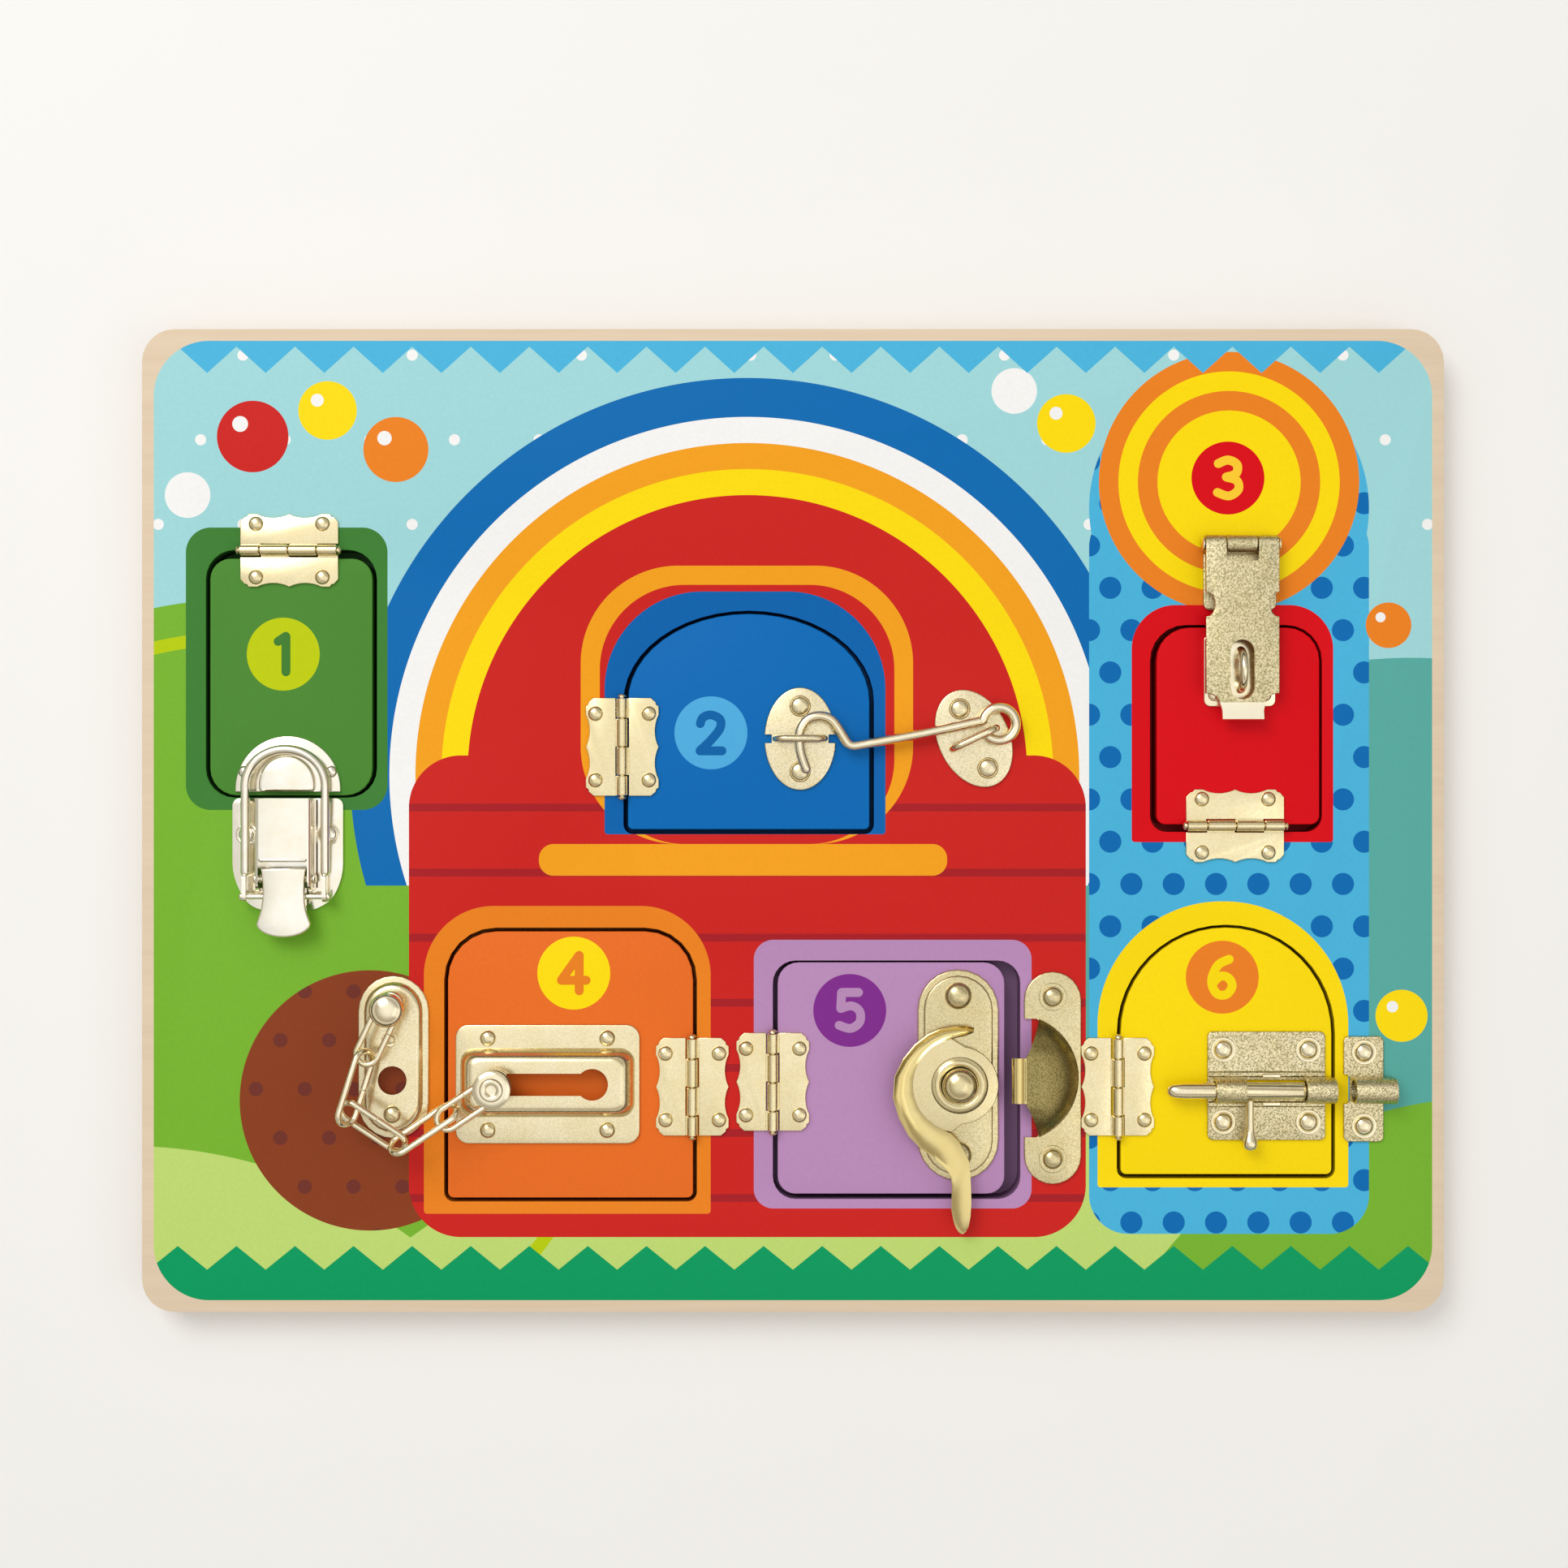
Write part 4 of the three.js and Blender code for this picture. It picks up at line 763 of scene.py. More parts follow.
class LATCHBOARD_OT_doors(bpy.types.Operator):
    """Makes the six doors and the numbers on their badges"""
    bl_idname = "latchboard.doors"
    bl_label = "Doors"

    def execute(self, context):
        sizes = context.scene.latch_sizes
        for number, (slot, pixel, colour, badge, digit) in enumerate(DOORS, 1):
            at = from_photo(*pixel)
            body = f"door_{number}_body"
            on_door = number != BADGE_ON_BOARD
            material = door_print(f"door_{number}_print", colour, badge, at if on_door else None)
            soften(f"door_{number}", material, sizes.door_edge, body)
            if on_door:
                self.number(number, at, digit, sizes.digit, body, slot)
            else:
                self.number(number, at, digit, sizes.digit, "board", "printed_face")
        return {"FINISHED"}

    def number(self, number, at, colour, tall, body, slot):
        """One plain number of round-ended strokes, a thin layer of ink on its badge."""
        strokes = []
        for stroke in NUMBERS[number - 1]:
            run = [(x * tall, y * tall) for x, y in stroke]
            strokes.append(wire(raised(smooth_run(run, 8) if len(run) > 2 else run, 0), tall * 0.1))
        bm = gather(*strokes)
        bmesh.ops.scale(bm, vec=(1, 1, 0.03), verts=bm.verts)
        placed(bm, *at, FACE + 0.01)
        keep_piece(f"number_{number}", bm, body, number_ink(f"number_{number}_ink", colour), [])


# Butt hinges: middle, and quarter turns from a hinge whose door lies to its right
HINGES = [(-154.6, 82.9, -1), (-52.4, 22.6, 0), (135.7, -1.6, 1), (-30.9, -81.7, 2), (-6.2, -80.2, 0),
          (99.7, -81.7, 0)]
HINGE_HALF = 15.05
HINGE_REACH = 11.2
HINGE_THICK = 0.9
HINGE_CLEAR = 2.0
HINGE_AXIS = 1.8
# Ends of the four knuckles along the pin, and half the gap between two
HINGE_CUTS = (-HINGE_HALF, -8.75, 0, 8.75, HINGE_HALF)
HINGE_GAP = 0.15


class LATCHBOARD_OT_hinges(bpy.types.Operator):
    """Makes the six butt hinges"""
    bl_idname = "latchboard.hinges"
    bl_label = "Hinges"

    def leaf(self):
        """A leaf with notched corners, two scallops, two knuckles and two rivets."""
        edge = HINGE_REACH
        low = -HINGE_HALF
        side = [(HINGE_CLEAR, low), (edge - 2.4, low), (edge - 0.9, low + 1.3), (edge - 0.8, low + 2.0),
                (edge, low + 2.6), (edge, low + 5.2)]
        span = HINGE_HALF - 5.2
        scallops = [(edge - 1.15 * math.sin(math.pi * step / 8) ** 0.8, start + span * step / 8)
                    for start in (-span, 0) for step in range(1, 9)]
        leaf = plate(side + scallops + flipped(side[:-1], 1), 0, HINGE_THICK, 0, 0.2)
        for i in (1, 3):
            low = HINGE_CUTS[i] + HINGE_GAP
            high = HINGE_CUTS[i + 1] - HINGE_GAP
            root = plate(box_corners(0.7, HINGE_CLEAR + 0.6, low, high), 0.05, HINGE_THICK - 0.06, 0, 0)
            tube = placed(knuckle(0.85, 1.65, low, high, 28), z=HINGE_AXIS, turn=ALONG_Y)
            leaf = gather(leaf, root, tube)
        return gather(leaf, *[dome(2.3, 1.25, 8.2, side * 10.2, HINGE_THICK) for side in SIDES])

    def execute(self, context):
        metal = plating("hinge")
        tip = HINGE_HALF + 0.3
        end = [(0.7, tip), (1.35, tip), (1.25, tip + 0.4), (0.7, tip + 0.9), (0, tip + 1.0)]
        for i, (x, y, quarters) in enumerate(HINGES, 1):
            turn = quarters * math.pi / 2
            add_piece(f"hinge_{i}_door_side", self.leaf(), f"door_{i}_body", metal, [f"hinge_{i}_door_leaf"],
                      x, y, turn)
            add_piece(f"hinge_{i}_board_side", self.leaf(), "board", metal, [f"hinge_{i}_fixed_leaf"],
                      x, y, turn + math.pi)
            add_piece(f"hinge_{i}_rod", placed(headed(end), z=HINGE_AXIS, turn=ALONG_Y), "board", metal,
                      [f"hinge_{i}_pin"], x, y, turn)
        return {"FINISHED"}


TOGGLE_X = -155.0
# The toggle's pins: height of both above the face, and each one's place up the board
TOGGLE_PIN_Z = 4.6
LEVER_PIN_Y = -17.7
BAIL_PIN_Y = -23.1


class LATCHBOARD_OT_toggle(bpy.types.Operator):
    """Makes the toggle latch of door 1"""
    bl_idname = "latchboard.toggle"
    bl_label = "Toggle latch"

    def base(self):
        """The pressed base with its folded channel, rolled end and rivets."""
        right = [(9.5, -27.9), (16.95, -20.4), (16.95, 6.8)]
        base = plate(flipped(right) + right, 0, 1.0, [2.2, 7, 5, 5, 7, 2.2], 0.45)
        base = carved(base, cutter(-7.4, 7.4, -20.7, -14.7))
        channel = carved(bar(box_corners(-8.5, 8.5, 0.5, 8.5), -21.6, 6.8, [0, 0, 1.4, 1.4], 0.2),
                         bar(box_corners(-7.5, 7.5, -2, 7.5), -30, 20, [0, 0, 0.6, 0.6]),
                         bar(box_corners(-7.5, 7.5, -2, 12), -30, -11.6),
                         placed(rod(1.3, -20, 20, 20), 0, LEVER_PIN_Y, TOGGLE_PIN_Z, ALONG_X))
        side = [(6.8, -3), (6.8, 12), *arc(LEVER_PIN_Y, TOGGLE_PIN_Z, 3.9, 90, 180, 8), (-21.6, -3)]
        channel = carved(channel, bar(side, -12, 12, turn=QUARTER), operation="INTERSECT")
        rolled = wire([(-6.7, -11.9, 7.9), (6.7, -11.9, 7.9)], 0.6)
        gutters = [bar([(side * 7.6, 0.7), (side * 9.5, 0.7), (side * 8.8, 1.5), (side * 7.6, 1.5)],
                       -20.6, 6.4) for side in SIDES]
        rivets = [ringed(3.4, 2.5, 1.1, side * 12.6, -4.2) for side in SIDES]
        return gather(base, channel, rolled, *gutters, *rivets)

    def lever(self):
        """The waisted tongue with its two walls."""
        left = [(-7.15, -14.3), (-6.8, -15.6), (-6.45, -18.5), (-6.35, -21.5), (-6.5, -24.5), (-6.9, -27.0),
                (-7.6, -29.2), (-8.3, -31.2)]
        tongue = plate(left + arc(0, -31.2, 8.3, 180, 360, 16, 4.3)[1:-1] + flipped(left), 6.3, 7.4, 0, 0.7)
        walls = [plate(box_corners(middle - 0.45, middle + 0.45, -26, -14.6), 2.6, 6.8, 0, 0)
                 for middle in (-5.75, 5.75)]
        return gather(tongue, *walls)

    def bail(self):
        """The wire loop with the flat ears that its pin goes through."""
        left = [(-12.2, -15.7 + 26.6 * i / 6) for i in range(6)]
        run = left + arc(0, 10.9, 12.2, 180, 0, 32, 11.0) + flipped(left)
        ears = [placed(plate([(-1.95, 0), (1.95, 0), (1.7, 8.2), (-1.7, 8.2)], -0.65, 0.65,
                             [1.9, 1.9, 0.8, 0.8], 0.2), side * 12.2, -24.8, TOGGLE_PIN_Z, ALONG_X)
                for side in SIDES]
        return gather(wire(raised(run, TOGGLE_PIN_Z), 1.4, 16), *ears)

    def catch(self):
        """The half-round catch plate with its boss."""
        moon = plate([(-16.15, 8.8), (16.15, 8.8)] + arc(0, 9.8, 16.15, 0, 180, 30), 0, 1.0, 0, 0.3)
        boss = plate([(-8.6, 8.9), (8.6, 8.9)] + arc(0, 11.4, 8.6, 0, 180, 20), 0.8, 3.0,
                     [1.2, 1.2] + [0] * 21, 0.85)
        return gather(moon, boss, *[dome(1.9, 1.25, side * 13.3, 15.0, 1.0) for side in SIDES])

    def execute(self, context):
        metal = plating("toggle")
        for name, bm, body, node in (
                ("toggle_frame", self.base(), "board", "toggle_base"),
                ("toggle_tongue", self.lever(), "toggle_lever_body", "toggle_lever"),
                ("toggle_hinge_rod", pin_across(1.0, 1.6, 8.8, LEVER_PIN_Y, TOGGLE_PIN_Z), "board",
                 "toggle_lever_pin"),
                ("toggle_bail_rod", pin_across(0.85, 1.4, 13.15, BAIL_PIN_Y, TOGGLE_PIN_Z),
                 "toggle_lever_body", "toggle_bail_pin"),
                ("toggle_loop", self.bail(), "toggle_bail_body", "toggle_bail"),
                ("catch_press", self.catch(), "door_1_body", "catch_plate")):
            add_piece(name, bm, body, metal, [node], TOGGLE_X)
        return {"FINISHED"}


class LATCHBOARD_OT_hook(bpy.types.Operator):
    """Makes the hook and the two eye plates of door 2"""
    bl_idname = "latchboard.hook"
    bl_label = "Hook and eye"

    def eye(self, *notches):
        """An oval plate with its strap, slot and rivets, and notches in its sides."""
        press = plate(arc(0, 0, 11.0, 0, 360, 56, 15.8)[:-1], 0, 1.0, 0, 0.4)
        press = carved(press, cutter(-6.3, 6.3, -1.1, 1.1), *notches)
        bend = [(-7.4, 0.5), (-7.4, 2.2)] + arc(-4.0, 3.9, 3.4, 180, 90, 8)
        strap = wire([(x, 0, z) for x, z in bend + flipped(bend)], 1.1, 16)
        return gather(press, strap, *[ringed(3.3, 2.8, 1.0, 0, side * 10.05) for side in SIDES])

    def execute(self, context):
        satin = plating("eye")
        notched = self.eye(cutter(8.7, 14, -1.35, 1.35), cutter(-14, -8.7, -1.35, 1.35))
        add_piece("door_eye_press", notched, "door_2_body", satin, ["door_eye_plate"], 2.2, 25.1)
        add_piece("board_eye_press", self.eye(), "board", satin, ["board_eye_plate"], 55.5, 25.2,
                  math.radians(25.5))
        ring = arc(63.0, 29.6, 5.1, 228, 532, 30)
        shank = [(57.2, 30.3), (56.0, 30.1), (38.0, 26.3), (19.2, 22.9)]
        nib = [(17.5, 23.1), (16.2, 24.4), (12.9, 29.6), (10.6, 31.5), (7.4, 32.0), (4.2, 30.8), (2.3, 28.0),
               (1.9, 25.0), (2.4, 20.6), (4.1, 15.7)]
        run = ring + smooth_run([ring[-1], *shank], 4)[1:] + smooth_run([shank[-1], *nib], 4)[1:]
        add_piece("hook_rod", wire(raised(run, 4.1), 1.5, 16), "hook_body", plating("hook"), ["hook"])
        return {"FINISHED"}


HASP_X = 137.1
HASP_PIN_Y = 84.7
HASP_PIN_Z = 2.9
STAPLE_Y = 46.2


class LATCHBOARD_OT_hasp(bpy.types.Operator):
    """Makes the hasp and the staple of door 3"""
    bl_idname = "latchboard.hasp"
    bl_label = "Hasp and staple"

    def roll(self, left, right):
        """A rolled knuckle on the pin."""
        return placed(knuckle(1.3, 2.7, left, right, 32), 0, HASP_PIN_Y, HASP_PIN_Z, ALONG_X)

    def strap(self):
        """The strap with its round-ended slot, side notches and two knuckles."""
        notch = [(11.2 - 2.8 * math.sin(math.radians(a)) ** 0.8, 66.0 - 3.7 * math.cos(math.radians(a)))
                 for a in (0, 20, 45, 70, 90, 110, 135, 160, 180)]
        right = arc(11.2, 35.6, -4.3, 0, 90, 5, 3.3) + notch + [(11.2, HASP_PIN_Y)]
        slot = plate(obround(0, STAPLE_Y - 9.15, STAPLE_Y + 9.15, 3.75), 0, 12, 0, 0)
        window = plate(box_corners(-4.95, 4.95, 79.3, 90), 0, 12, [0.8, 0.8, 0, 0], 0)
        strap = carved(plate(right + flipped(right), 4.4, 5.6, 0, 0.28), slot, window)
        return gather(strap, self.roll(-11.2, -4.95), self.roll(4.95, 11.2))

    def lip(self):
        """The strap's free end, bent up."""
        rows = [[(half * (i / 8 - 1), y, z) for i in range(17)] for y, z, half in
                ((37.0, 5.5, 6.9), (35.9, 5.62, 6.9), (35.0, 5.8, 6.6), (33.6, 6.1, 6.3), (31.0, 6.7, 6.3))]
        return sheet(rows, 1.1)

    def execute(self, context):
        grainy = plating("hasp")
        bright = plating("staple")
        base = gather(plate(box_corners(-11.2, 11.2, 64.6, 82.0), 0, 1.2, [2, 2, 0, 0], 0.3),
                      plate(box_corners(-4.6, 4.6, 79.5, 84.6), 0.1, 1.1, 0, 0.1), self.roll(-4.65, 4.65))
        bow = [(40.2, 0.4), *arc(STAPLE_Y, 1.9, 6.0, 180, 0, 20), (52.2, 0.4)]
        staple = gather(plate(box_corners(-11, 11, 35.0, 57.2), 0, 1.0, 2.0, 0.3),
                        wire([(0, y, z) for y, z in bow], 1.25, 16),
                        *[dome(2.0, 1.0, x, y, 1.0) for x in (-7.8, 7.8) for y in (38.6, 53.6)])
        add_piece("hasp_leaf", base, "board", grainy, ["hasp_base"], HASP_X)
        add_piece("hasp_tongue", self.strap(), "hasp_body", grainy, ["hasp_strap"], HASP_X)
        # The lip's bright plating is a painted highlight
        add_piece("hasp_lip", self.lip(), "hasp_body", plating("lip"), [], HASP_X)
        add_piece("hasp_rod", pin_across(1.1, 2.2, 11.5, HASP_PIN_Y, HASP_PIN_Z), "board", bright,
                  ["hasp_pin"], HASP_X)
        add_piece("staple_press", staple, "door_3_body", bright, ["staple_plate"], HASP_X)
        return {"FINISHED"}


ANCHOR_X = -122.6
# The chain's track: middle of its hump, and middle of its keyhole's round end
TRACK_X, TRACK_Y = -75.3, -80.4
KEYHOLE_X = -61.2
# Chain links: body's number, place, height above the face, heading, pitch and roll
LINKS = [
    (1, -125.45, -63.01, 10.23, -115.3, 0, 0),
    (2, -132.24, -80.62, 11.60, -106.5, 7.7, -49.3),
    (3, -127.08, -92.49, 10.61, -33.0, 1.5, 29.4),
    (4, -111.65, -93.04, 11.21, 33.4, -9.6, -48.8),
    (5, -97.65, -85.48, 10.74, 33.6, 0, 0),
]
# Radius of a link's wire, and how far it sits under the plain model's, so that its top is no higher
LINK_WIRE = 0.96
LINK_SINK = 0.055
# How much the rings of the track's hump shrink as they rise
HUMP_INSETS = (0.0, 0.25, 1.0, 2.0, 2.9, 3.8, 4.8)


class LATCHBOARD_OT_chain(bpy.types.Operator):
    """Makes the chain guard of door 4"""
    bl_idname = "latchboard.chain"
    bl_label = "Chain guard"

    def anchor(self):
        """The plate that carries the chain's knob, with its ridge, hole and rivets."""
        rings = [raised(obround(0, -97.6 + inset, -47.6 - inset, 10.85 - inset), z)
                 for inset, z in ((1.7, 0.5), (1.9, 1.3), (2.4, 2.3), (3.1, 2.85), (4.0, 3.0))]
        parts = [carved(part, placed(rod(4.4, -3, 8, 40), 0, -79.5))
                 for part in (plate(obround(0, -97.6, -47.6, 10.85), 0, 1.0, 0, 0.45), loft(rings))]
        return gather(*parts, dome(2.75, 1.7, 0, -89.9, 2.9), ringed(2.4, 1.5, 0.5, -0.8, -67.0, 2.9))

    def hump(self, half_x, half_y, corner, heights):
        """A closed hump over the track, from rings that shrink as they rise."""
        return loft([rounded(TRACK_X, TRACK_Y, half_x - inset, half_y - 0.85 * inset,
                             corner - 0.35 * inset, z)
                     for inset, z in zip(HUMP_INSETS, heights)])

    def track(self):
        """The hollow track with its keyhole slot."""
        flat = carved(plate(box_corners(-103.6, -47.0, -99.2, -62.6), 0, 1.0, 4.0, 0.4),
                      cutter(-99.0, -51.6, -88.0, -72.8, 3.0))
        slot = [(KEYHOLE_X, TRACK_Y + 3.4), *arc(-93.4, TRACK_Y, 3.4, 90, 270, 14),
                (KEYHOLE_X, TRACK_Y - 3.4)]
        bench = carved(self.hump(26.9, 10.7, 4.6, (0.6, 1.4, 3.0, 4.6, 5.5, 5.9, 6.0)),
                       self.hump(25.8, 9.6, 3.8, (-0.5, 1.2, 2.6, 4.0, 4.7, 4.95, 5.0)),
                       placed(rod(4.85, 1.5, 9, 40), KEYHOLE_X, TRACK_Y), plate(slot, 1.5, 9, 0, 0))
        heads = [dome(2.5, 1.5, x, y, 1.0) for x in (-93.6, -57.0) for y in (-95.0, -66.8)]
        return gather(flat, bench, *heads)

    def execute(self, context):
        bright = plating("chain")
        satin = plating("guard")
        knob = turned([(0, 3.0), (3.0, 3.0), (3.0, 4.0), (1.9, 4.3), (1.9, 11.6),
                       *curve(0, 13.0, 5.25, 2.6, (-32, -15, 0, 15, 30, 45, 60, 75)), (0, 15.6)], 36)
        slider = [(0, 3.5), (3.9, 3.5), (3.9, 4.7), (1.9, 4.7), (1.9, 6.3), (5.0, 6.3), (5.4, 6.7),
                  (5.4, 8.3), (5.0, 8.7), (1.9, 8.9), (1.9, 12.3), (5.5, 12.3), (5.75, 12.6), (5.75, 13.9),
                  (5.4, 14.2), (3.6, 14.25), (3.4, 14.7), (3.0, 14.9), (2.0, 14.8), (1.6, 14.4),
                  (1.5, 13.2), (0, 13.0)]
        add_piece("anchor_press", self.anchor(), "board", satin, ["anchor_plate"], ANCHOR_X)
        add_piece("anchor_stud", knob, "board", bright, ["anchor_knob"], ANCHOR_X, -57.0)
        add_piece("track_press", self.track(), "door_4_body", satin, ["track_plate"])
        add_piece("slider_stud", turned(slider, 40), "slider_body", bright, ["chain_slider"], -90.9, -81.0)
        run = [(-0.15, 3.35), *arc(-8.1, 0, 3.35, 90, 270, 14), *arc(8.1, 0, 3.35, -90, 90, 14),
               (0.15, 3.35)]
        for number, x, y, height, *angles in LINKS:
            heading, pitch, roll = map(math.radians, angles)
            spun = (Matrix.Rotation(heading, 4, "Z") @ Matrix.Rotation(-pitch, 4, "Y")
                    @ Matrix.Rotation(roll, 4, "X"))
            link = placed(wire(raised(run, 0), LINK_WIRE, 14, False), 0, 0, height - LINK_SINK, spun)
            add_piece(f"link_{number}_wire", link, f"link_{number}_body", bright, [f"chain_link_{number}"],
                      x, y)
        return {"FINISHED"}


CAM = (50.9, -80.8)
KEEPER = (79.7, -79.0)
# The cam's dished flange: angle, inner and outer radius
FLANGE = [(76, 17.3, 17.5), (84, 15.7, 17.9), (95, 14.9, 18.1), (108, 14.6, 18.3), (122, 14.4, 18.4),
          (138, 14.3, 18.6), (155, 14.3, 19.2), (172, 14.5, 20.2), (190, 14.5, 20.8), (208, 14.4, 21.1),
          (224, 14.3, 21.9), (238, 14.3, 22.6), (249, 14.4, 23.2)]
# The handle it runs into: inner and outer edge, and how far it is twisted flat
HANDLE = [((-3.0, -14.6), (-7.0, -23.0), 0.0), ((-0.8, -16.8), (-5.0, -24.8), 0.15),
          ((1.1, -19.5), (-3.6, -26.4), 0.35), ((2.6, -22.8), (-2.7, -28.2), 0.6),
          ((3.1, -26.5), (-2.4, -30.8), 0.85), ((3.3, -31.0), (-2.5, -34.0), 1.0),
          ((3.4, -36.0), (-2.6, -38.0), 1.0), ((3.1, -40.0), (-1.9, -41.5), 1.0),
          ((2.6, -42.8), (-1.2, -43.4), 1.0), ((1.9, -44.4), (-0.4, -44.7), 1.0),
          ((1.1, -45.2), (0.3, -45.3), 1.0)]
# Across the flange: share of its width, and height
DISH = [(0.0, 4.45), (0.12, 4.2), (0.3, 3.95), (0.5, 4.05), (0.7, 4.5), (0.86, 5.1), (0.95, 5.5), (1.0, 5.4)]


class LATCHBOARD_OT_cam(bpy.types.Operator):
    """Makes the cam lock of door 5 and its keeper"""
    bl_idname = "latchboard.cam"
    bl_label = "Cam lock"

    def flange(self):
        """The dished flange, from its pointed tip round the disc and down into the twisted handle."""
        spots = [(*curve(0, 0, near, near, [angle]), *curve(0, 0, far, far, [angle]), 0.0)
                 for angle, near, far in FLANGE]
        rows = []
        for near, far, twist in spots + HANDLE:
            near, far = Vector(near), Vector(far)
            lean = min(1.0, (far - near).length / 5.5)
            row = []
            for share, dish in DISH:
                flat = 4.7 + lean * (0.5 * math.sin(math.pi * share) + 1.4 * (1 - share))
                row.append((*near.lerp(far, share), dish + (flat - dish) * twist))
            rows.append(row)
        return sheet(rows, 0.75)

    def lever(self):
        """The cam's flat web, wider on the flange's side, with the raised ring round its rivet."""
        web = curve(0, 0, 11.9, 11.9, range(-86, 89, 8)) + curve(0, 0, 14.55, 14.55, range(100, 261, 8))
        ring = [(2.9, 4.2), (8.9, 4.2), (8.7, 4.5), (8.1, 4.8), (7.6, 5.2), (7.0, 5.4), (6.4, 5.25),
                (5.9, 5.0), (2.9, 5.0)]
        return gather(plate(web, 3.3, 4.5, 0, 0.3), turned(ring, 56))

    def base(self):
        """The stepped plate with its hub and two rivets."""
        return gather(plate(obround(-0.2, -29.7, 35.1, 12.45), 0, 1.0, 0, 0.5),
                      plate(obround(-0.2, -27.9, 33.3, 10.6), 0.6, 1.8, 0, 0.7), rod(6.0, 1.0, 3.0, 32),
                      *[dome(4.15, 2.4, -0.2, y, 1.75) for y in (-21.7, 27.1)])

    def keeper(self):
        """The keeper's plate, notched for the cam, with its two rivets."""
        foot = carved(plate(obround(0, -32.65, 32.65, 8.75), 0, 1.0, 0, 0.4),
                      cutter(-14, -4.15, -18.2, 18.2, [0, 1.2, 1.2, 0]))
        return gather(foot, *[ringed(4.3, 3.05, 1.5, 0, y) for y in (24.9, -24.9)])

    def hood(self):
        """The keeper's scooped hood."""
        rows = []
        for i in range(25):
            u = i / 12 - 1
            angle = math.radians(68 * u)
            foot = (19.6 * math.cos(angle) - 11.5, 19.6 * math.sin(angle), 0.9)
            away = max((abs(u) - 0.3) / 0.7, 0)
            front = (-9.2 + 5.1 * away ** 0.8, math.copysign(6.9 * min(abs(u) / 0.3, 1) + 11.3 * away, u),
                     8.3 - 7.3 * away ** 1.7)
            bulge = (foot[0] - 0.3 * (foot[0] - front[0]), foot[1], front[2])
            rows.append([tuple(a * (1 - t) ** 2 + 2 * b * t * (1 - t) + c * t * t for a, b, c in
                               zip(foot, bulge, front)) for t in (0, 0.12, 0.25, 0.4, 0.55, 0.7, 0.85, 1)])
        return sheet(rows, 0.8)

    def curl(self):
        """The hood's lip, curled down over the notch."""
        lips = [[(x, y, z) for y in (-6.9, -5.8, -3, 0, 3, 5.8, 6.9)] for x, z in
                ((-8.8, 8.3), (-9.5, 8.25), (-10.0, 7.9), (-10.5, 8.3), (-11.2, 8.35), (-12.4, 7.9),
                 (-13.1, 6.9))]
        return sheet(lips, 0.7)

    def execute(self, context):
        satin = plating("cam")
        bright = plating("cam_bright")
        # A more golden copy of the cam's plating, painted reflection in the concave flange and curl
        golden_painted_reflection = plating("cam_flange")
        button = turned([(0, 3.05), (2.6, 3.05), (2.6, 5.8), (5.4, 5.8),
                         *curve(0, 5.8, 5.5, 3.2, (8, 24, 40, 55, 70, 82)), (0, 9.0)], 36)
        add_piece("cam_press", self.base(), "door_5_body", satin, ["cam_plate"], *CAM)
        add_piece("cam_turner", self.lever(), "cam_body", bright, ["cam_lever"], *CAM)
        add_piece("cam_flange", self.flange(), "cam_body", golden_painted_reflection, [], *CAM)
        add_piece("cam_button", button, "door_5_body", bright, ["cam_rivet"], *CAM)
        add_piece("keeper_press", self.keeper(), "board", satin, ["cam_keeper"], *KEEPER)
        # The hood's dark plating is painted shade
        add_piece("keeper_hood", self.hood(), "board", plating("keeper_hood"), [], *KEEPER)
        add_piece("keeper_curl", self.curl(), "board", golden_painted_reflection, [], *KEEPER)
        return {"FINISHED"}


BOLT_Y = -82.4
BOLT_AXIS = 4.9


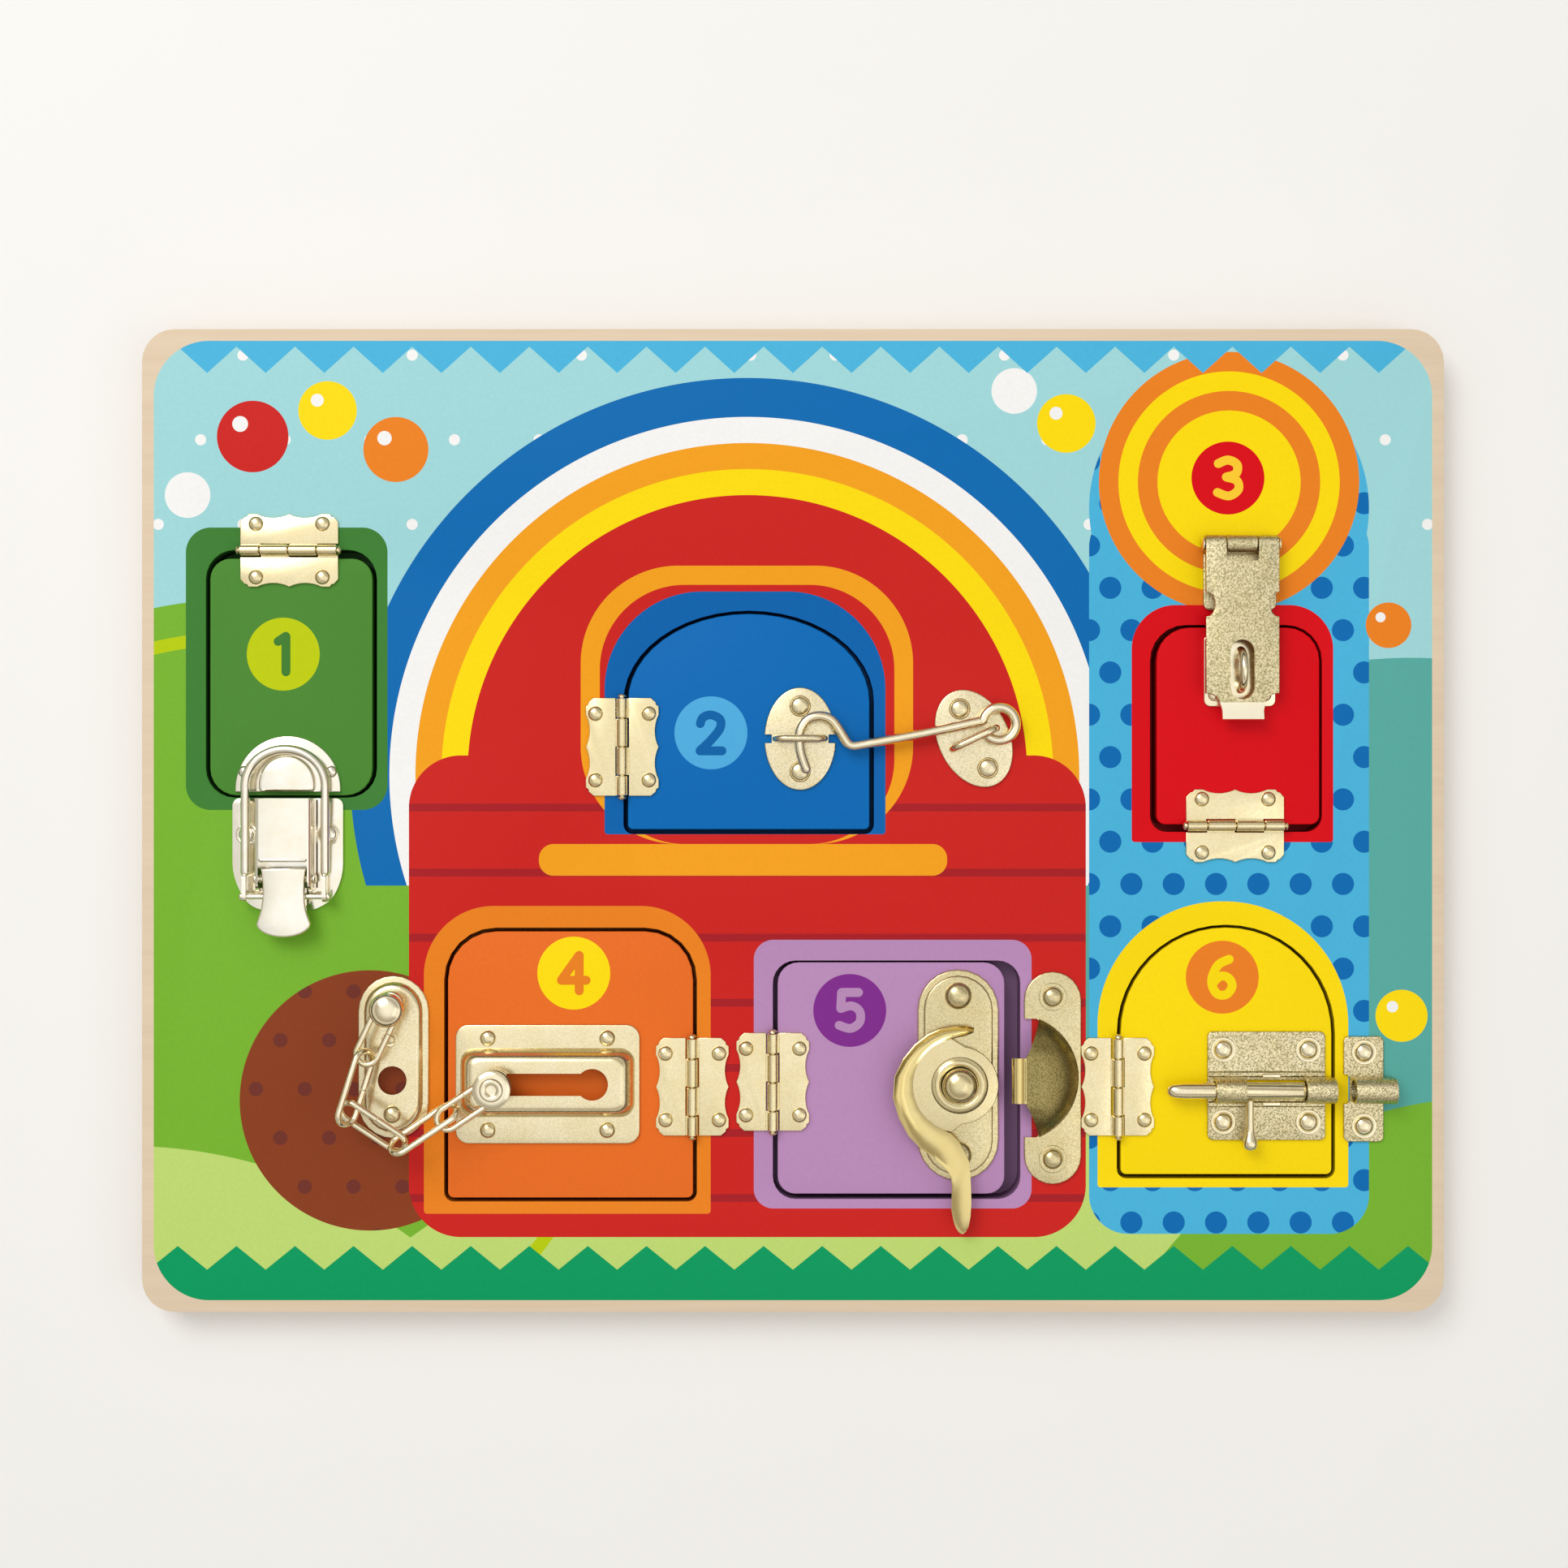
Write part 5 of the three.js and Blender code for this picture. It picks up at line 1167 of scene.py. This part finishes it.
class LATCHBOARD_OT_bolt(bpy.types.Operator):
    """Makes the barrel bolt of door 6 and its keeper"""
    bl_idname = "latchboard.bolt"
    bl_label = "Barrel bolt"

    def guide(self, left, right, bore_radius):
        """A strap bent round the bolt."""
        outer = [(-3.9, 0.5), (3.9, 0.5)] + arc(0, BOLT_AXIS, 3.9, 0, 180, 22)
        bore = placed(rod(bore_radius, -40, 220, 36), 0, 0, BOLT_AXIS, ALONG_Y)
        return placed(carved(bar(outer, left, right, 0, 0.25), bore), turn=QUARTER_BACK)

    def bench(self):
        """The bolt's plate with its window, folds and two guides."""
        press = carved(plate(box_corners(127.2, 163.4, -15.7, 17.7), 0, 1.0, 1.7, 0.35),
                       cutter(137.9, 156.3, -2.9, 2.9))
        folds = [bar([(middle - 1.1, 0.8), (middle + 1.1, 0.8), (middle + 0.5, 1.6), (middle - 0.5, 1.6)],
                     127.6, 163.0, turn=QUARTER_BACK) for middle in (-4.6, 4.6)]
        return gather(press, self.guide(128.7, 137.9, 3.0), self.guide(156.3, 165.4, 3.0), *folds)

    def catch(self):
        """The keeper's plate with its loop, which is a little wider than the guides."""
        foot = carved(plate(box_corners(169.0, 181.3, -16.2, 16.2), 0, 1.0, 1.7, 0.35),
                      cutter(165, 170.9, -4.6, 4.6, [0, 1.5, 1.5, 0]))
        return gather(foot, self.guide(171.1, 183.8, 3.3))

    def execute(self, context):
        grainy = plating("bolt")
        bright = plating("bar")
        tabs = [plate(box_corners(143.6, 149.2, middle - 0.6, middle + 0.6), 0.8, 3.2, 0.3, 0.3)
                for middle in (-4.3, 4.3)]
        rivets = [ringed(3.9, 2.9, 1.45, x, y) for x in (132.0, 158.1) for y in (-10.1, 12.1)]
        heads = [ringed(3.9, 2.9, 1.45, 175.2, side * 11.3) for side in SIDES]
        bolt = turned([(0, 114.1), (1.0, 114.25), (1.75, 114.8), (2.2, 115.7), (2.45, 117.0), (2.65, 119.0),
                       (2.65, 163.2), (2.4, 163.5), (0, 163.5)])
        grip = turned([(0, -18.3), (1.4, -18.0), (2.3, -17.2), (2.5, -16.2), (2.2, -14.9), (1.6, -13.4),
                       (1.25, -11.0), (1.2, -2.95), (0, -2.95)], 28)
        for name, bm, body, material, nodes in (
                ("bolt_bench", self.bench(), "door_6_body", grainy, ["bolt_plate"]),
                ("bolt_rivets", gather(*rivets, *tabs), "door_6_body", bright, []),
                ("bolt_rod", placed(bolt, 0, 0, BOLT_AXIS, ALONG_X), "bolt_body", bright, ["bolt"]),
                ("bolt_grip", placed(grip, 139.4, 0, BOLT_AXIS, ALONG_Y), "bolt_handle_body", bright,
                 ["bolt_handle"]),
                ("bolt_catch", self.catch(), "board", grainy, ["bolt_keeper"]),
                ("catch_rivets", gather(*heads), "board", bright, [])):
            add_piece(name, bm, body, material, nodes, y=BOLT_Y)
        return {"FINISHED"}


# Heights on the studio's dome, from the horizon up, and the light at each
STUDIO = [(0.0, (0.02, 0.015, 0.01)), (0.25, (0.07, 0.05, 0.025)), (0.38, (0.72, 0.68, 0.6)),
          (0.52, (0.85, 0.83, 0.79)), (0.64, (0.38, 0.34, 0.28)), (0.8, (0.55, 0.53, 0.5)),
          (0.92, (0.95, 0.95, 0.94)), (0.97, (1.08, 1.08, 1.08))]


class LATCHBOARD_OT_stage(bpy.types.Operator):
    """Makes the floor, the lamps, the world and the camera"""
    bl_idname = "latchboard.stage"
    bl_label = "Stage"

    def floor(self, scene):
        """A wide pale floor under the board."""
        bm = bmesh.new()
        bmesh.ops.create_grid(bm, x_segments=4, y_segments=4, size=4.0)
        mesh = bpy.data.meshes.new("floor")
        bm.to_mesh(mesh)
        bm.free()
        floor = bpy.data.objects.new("floor", mesh)
        scene.collection.objects.link(floor)
        recipe = Recipe("floor_paint")
        pale = scene.latch_colours.floor
        ground = recipe.blend(recipe.noise(0.02), pale, tint(pale, 0.985, 0.985, 0.985))
        mesh.materials.append(recipe.shade(Base_Color=ground, Roughness=0.8))

    def lamp(self, name, place, size, power):
        """A soft square lamp that points at the board."""
        light = bpy.data.lights.new(name, "AREA")
        light.size = size
        light.energy = power
        lamp = bpy.data.objects.new(name, light)
        bpy.context.scene.collection.objects.link(lamp)
        lamp.location = place
        lamp.rotation_euler = Vector(place).to_track_quat("Z", "Y").to_euler()

    def world(self, scene):
        """A studio that is dark below and bright overhead."""
        scene.world = bpy.data.worlds.new("studio")
        scene.world.use_nodes = True
        tree = scene.world.node_tree
        rise = tree.nodes.new("ShaderNodeSeparateXYZ")
        tree.links.new(tree.nodes.new("ShaderNodeTexCoord").outputs["Generated"], rise.inputs[0])
        ramp = tree.nodes.new("ShaderNodeValToRGB")
        stops = ramp.color_ramp.elements
        for place, shade in STUDIO:
            stop = stops.new(place) if place else stops[0]
            stop.color = (*shade, 1)
        stops.remove(stops[-1])
        tree.links.new(rise.outputs["Z"], ramp.inputs[0])
        tree.links.new(ramp.outputs[0], tree.nodes["Background"].inputs["Color"])

    def camera(self, scene):
        """The camera straight above, framed as in the photograph."""
        lens = bpy.data.cameras.new("camera")
        camera = bpy.data.objects.new("camera", lens)
        scene.collection.objects.link(camera)
        above = scene.latch_sizes.camera_above
        lens.lens = lens.sensor_width * above / (PHOTO_SIDE / PHOTO_SCALE)
        x, y = from_photo(PHOTO_SIDE / 2, PHOTO_SIDE / 2)
        camera.location = (x * MM, y * MM, (FACE + above) * MM)
        scene.camera = camera
        scene.view_settings.view_transform = "Standard"

    def execute(self, context):
        self.floor(context.scene)
        self.lamp("key_lamp", (-0.75, 0.95, 1.5), 1.0, 14.0)
        self.lamp("fill_lamp", (1.2, -0.5, 1.5), 1.4, 3.5)
        self.world(context.scene)
        self.camera(context.scene)
        return {"FINISHED"}


class LATCHBOARD_PT_panel(bpy.types.Panel):
    """Lists the board's makers and sizes"""
    bl_idname = "LATCHBOARD_PT_panel"
    bl_label = "Latch board"
    bl_space_type = "VIEW_3D"
    bl_region_type = "UI"
    bl_category = "Latch board"

    def draw(self, context):
        for group in (context.scene.latch_sizes, context.scene.latch_colours):
            for name in group.__annotations__:
                self.layout.prop(group, name)
        for operator in OPERATORS:
            self.layout.operator(operator.bl_idname)


OPERATORS = (LATCHBOARD_OT_stage, LATCHBOARD_OT_board, LATCHBOARD_OT_doors, LATCHBOARD_OT_hinges,
             LATCHBOARD_OT_toggle, LATCHBOARD_OT_hook, LATCHBOARD_OT_hasp, LATCHBOARD_OT_chain,
             LATCHBOARD_OT_cam, LATCHBOARD_OT_bolt)
CLASSES = (LATCHBOARD_PG_sizes, LATCHBOARD_PG_colours, *OPERATORS, LATCHBOARD_PT_panel)


def register():
    """Registers the classes and their settings."""
    for item in CLASSES:
        bpy.utils.register_class(item)
    bpy.types.Scene.latch_sizes = bpy.props.PointerProperty(type=LATCHBOARD_PG_sizes)
    bpy.types.Scene.latch_colours = bpy.props.PointerProperty(type=LATCHBOARD_PG_colours)


def unregister():
    """Removes the settings and the classes."""
    del bpy.types.Scene.latch_colours
    del bpy.types.Scene.latch_sizes
    for item in reversed(CLASSES):
        bpy.utils.unregister_class(item)


def main():
    """Builds the board."""
    register()
    for operator in OPERATORS:
        group, name = operator.bl_idname.split(".")
        getattr(getattr(bpy.ops, group), name)()


if __name__ == "__main__":
    main()
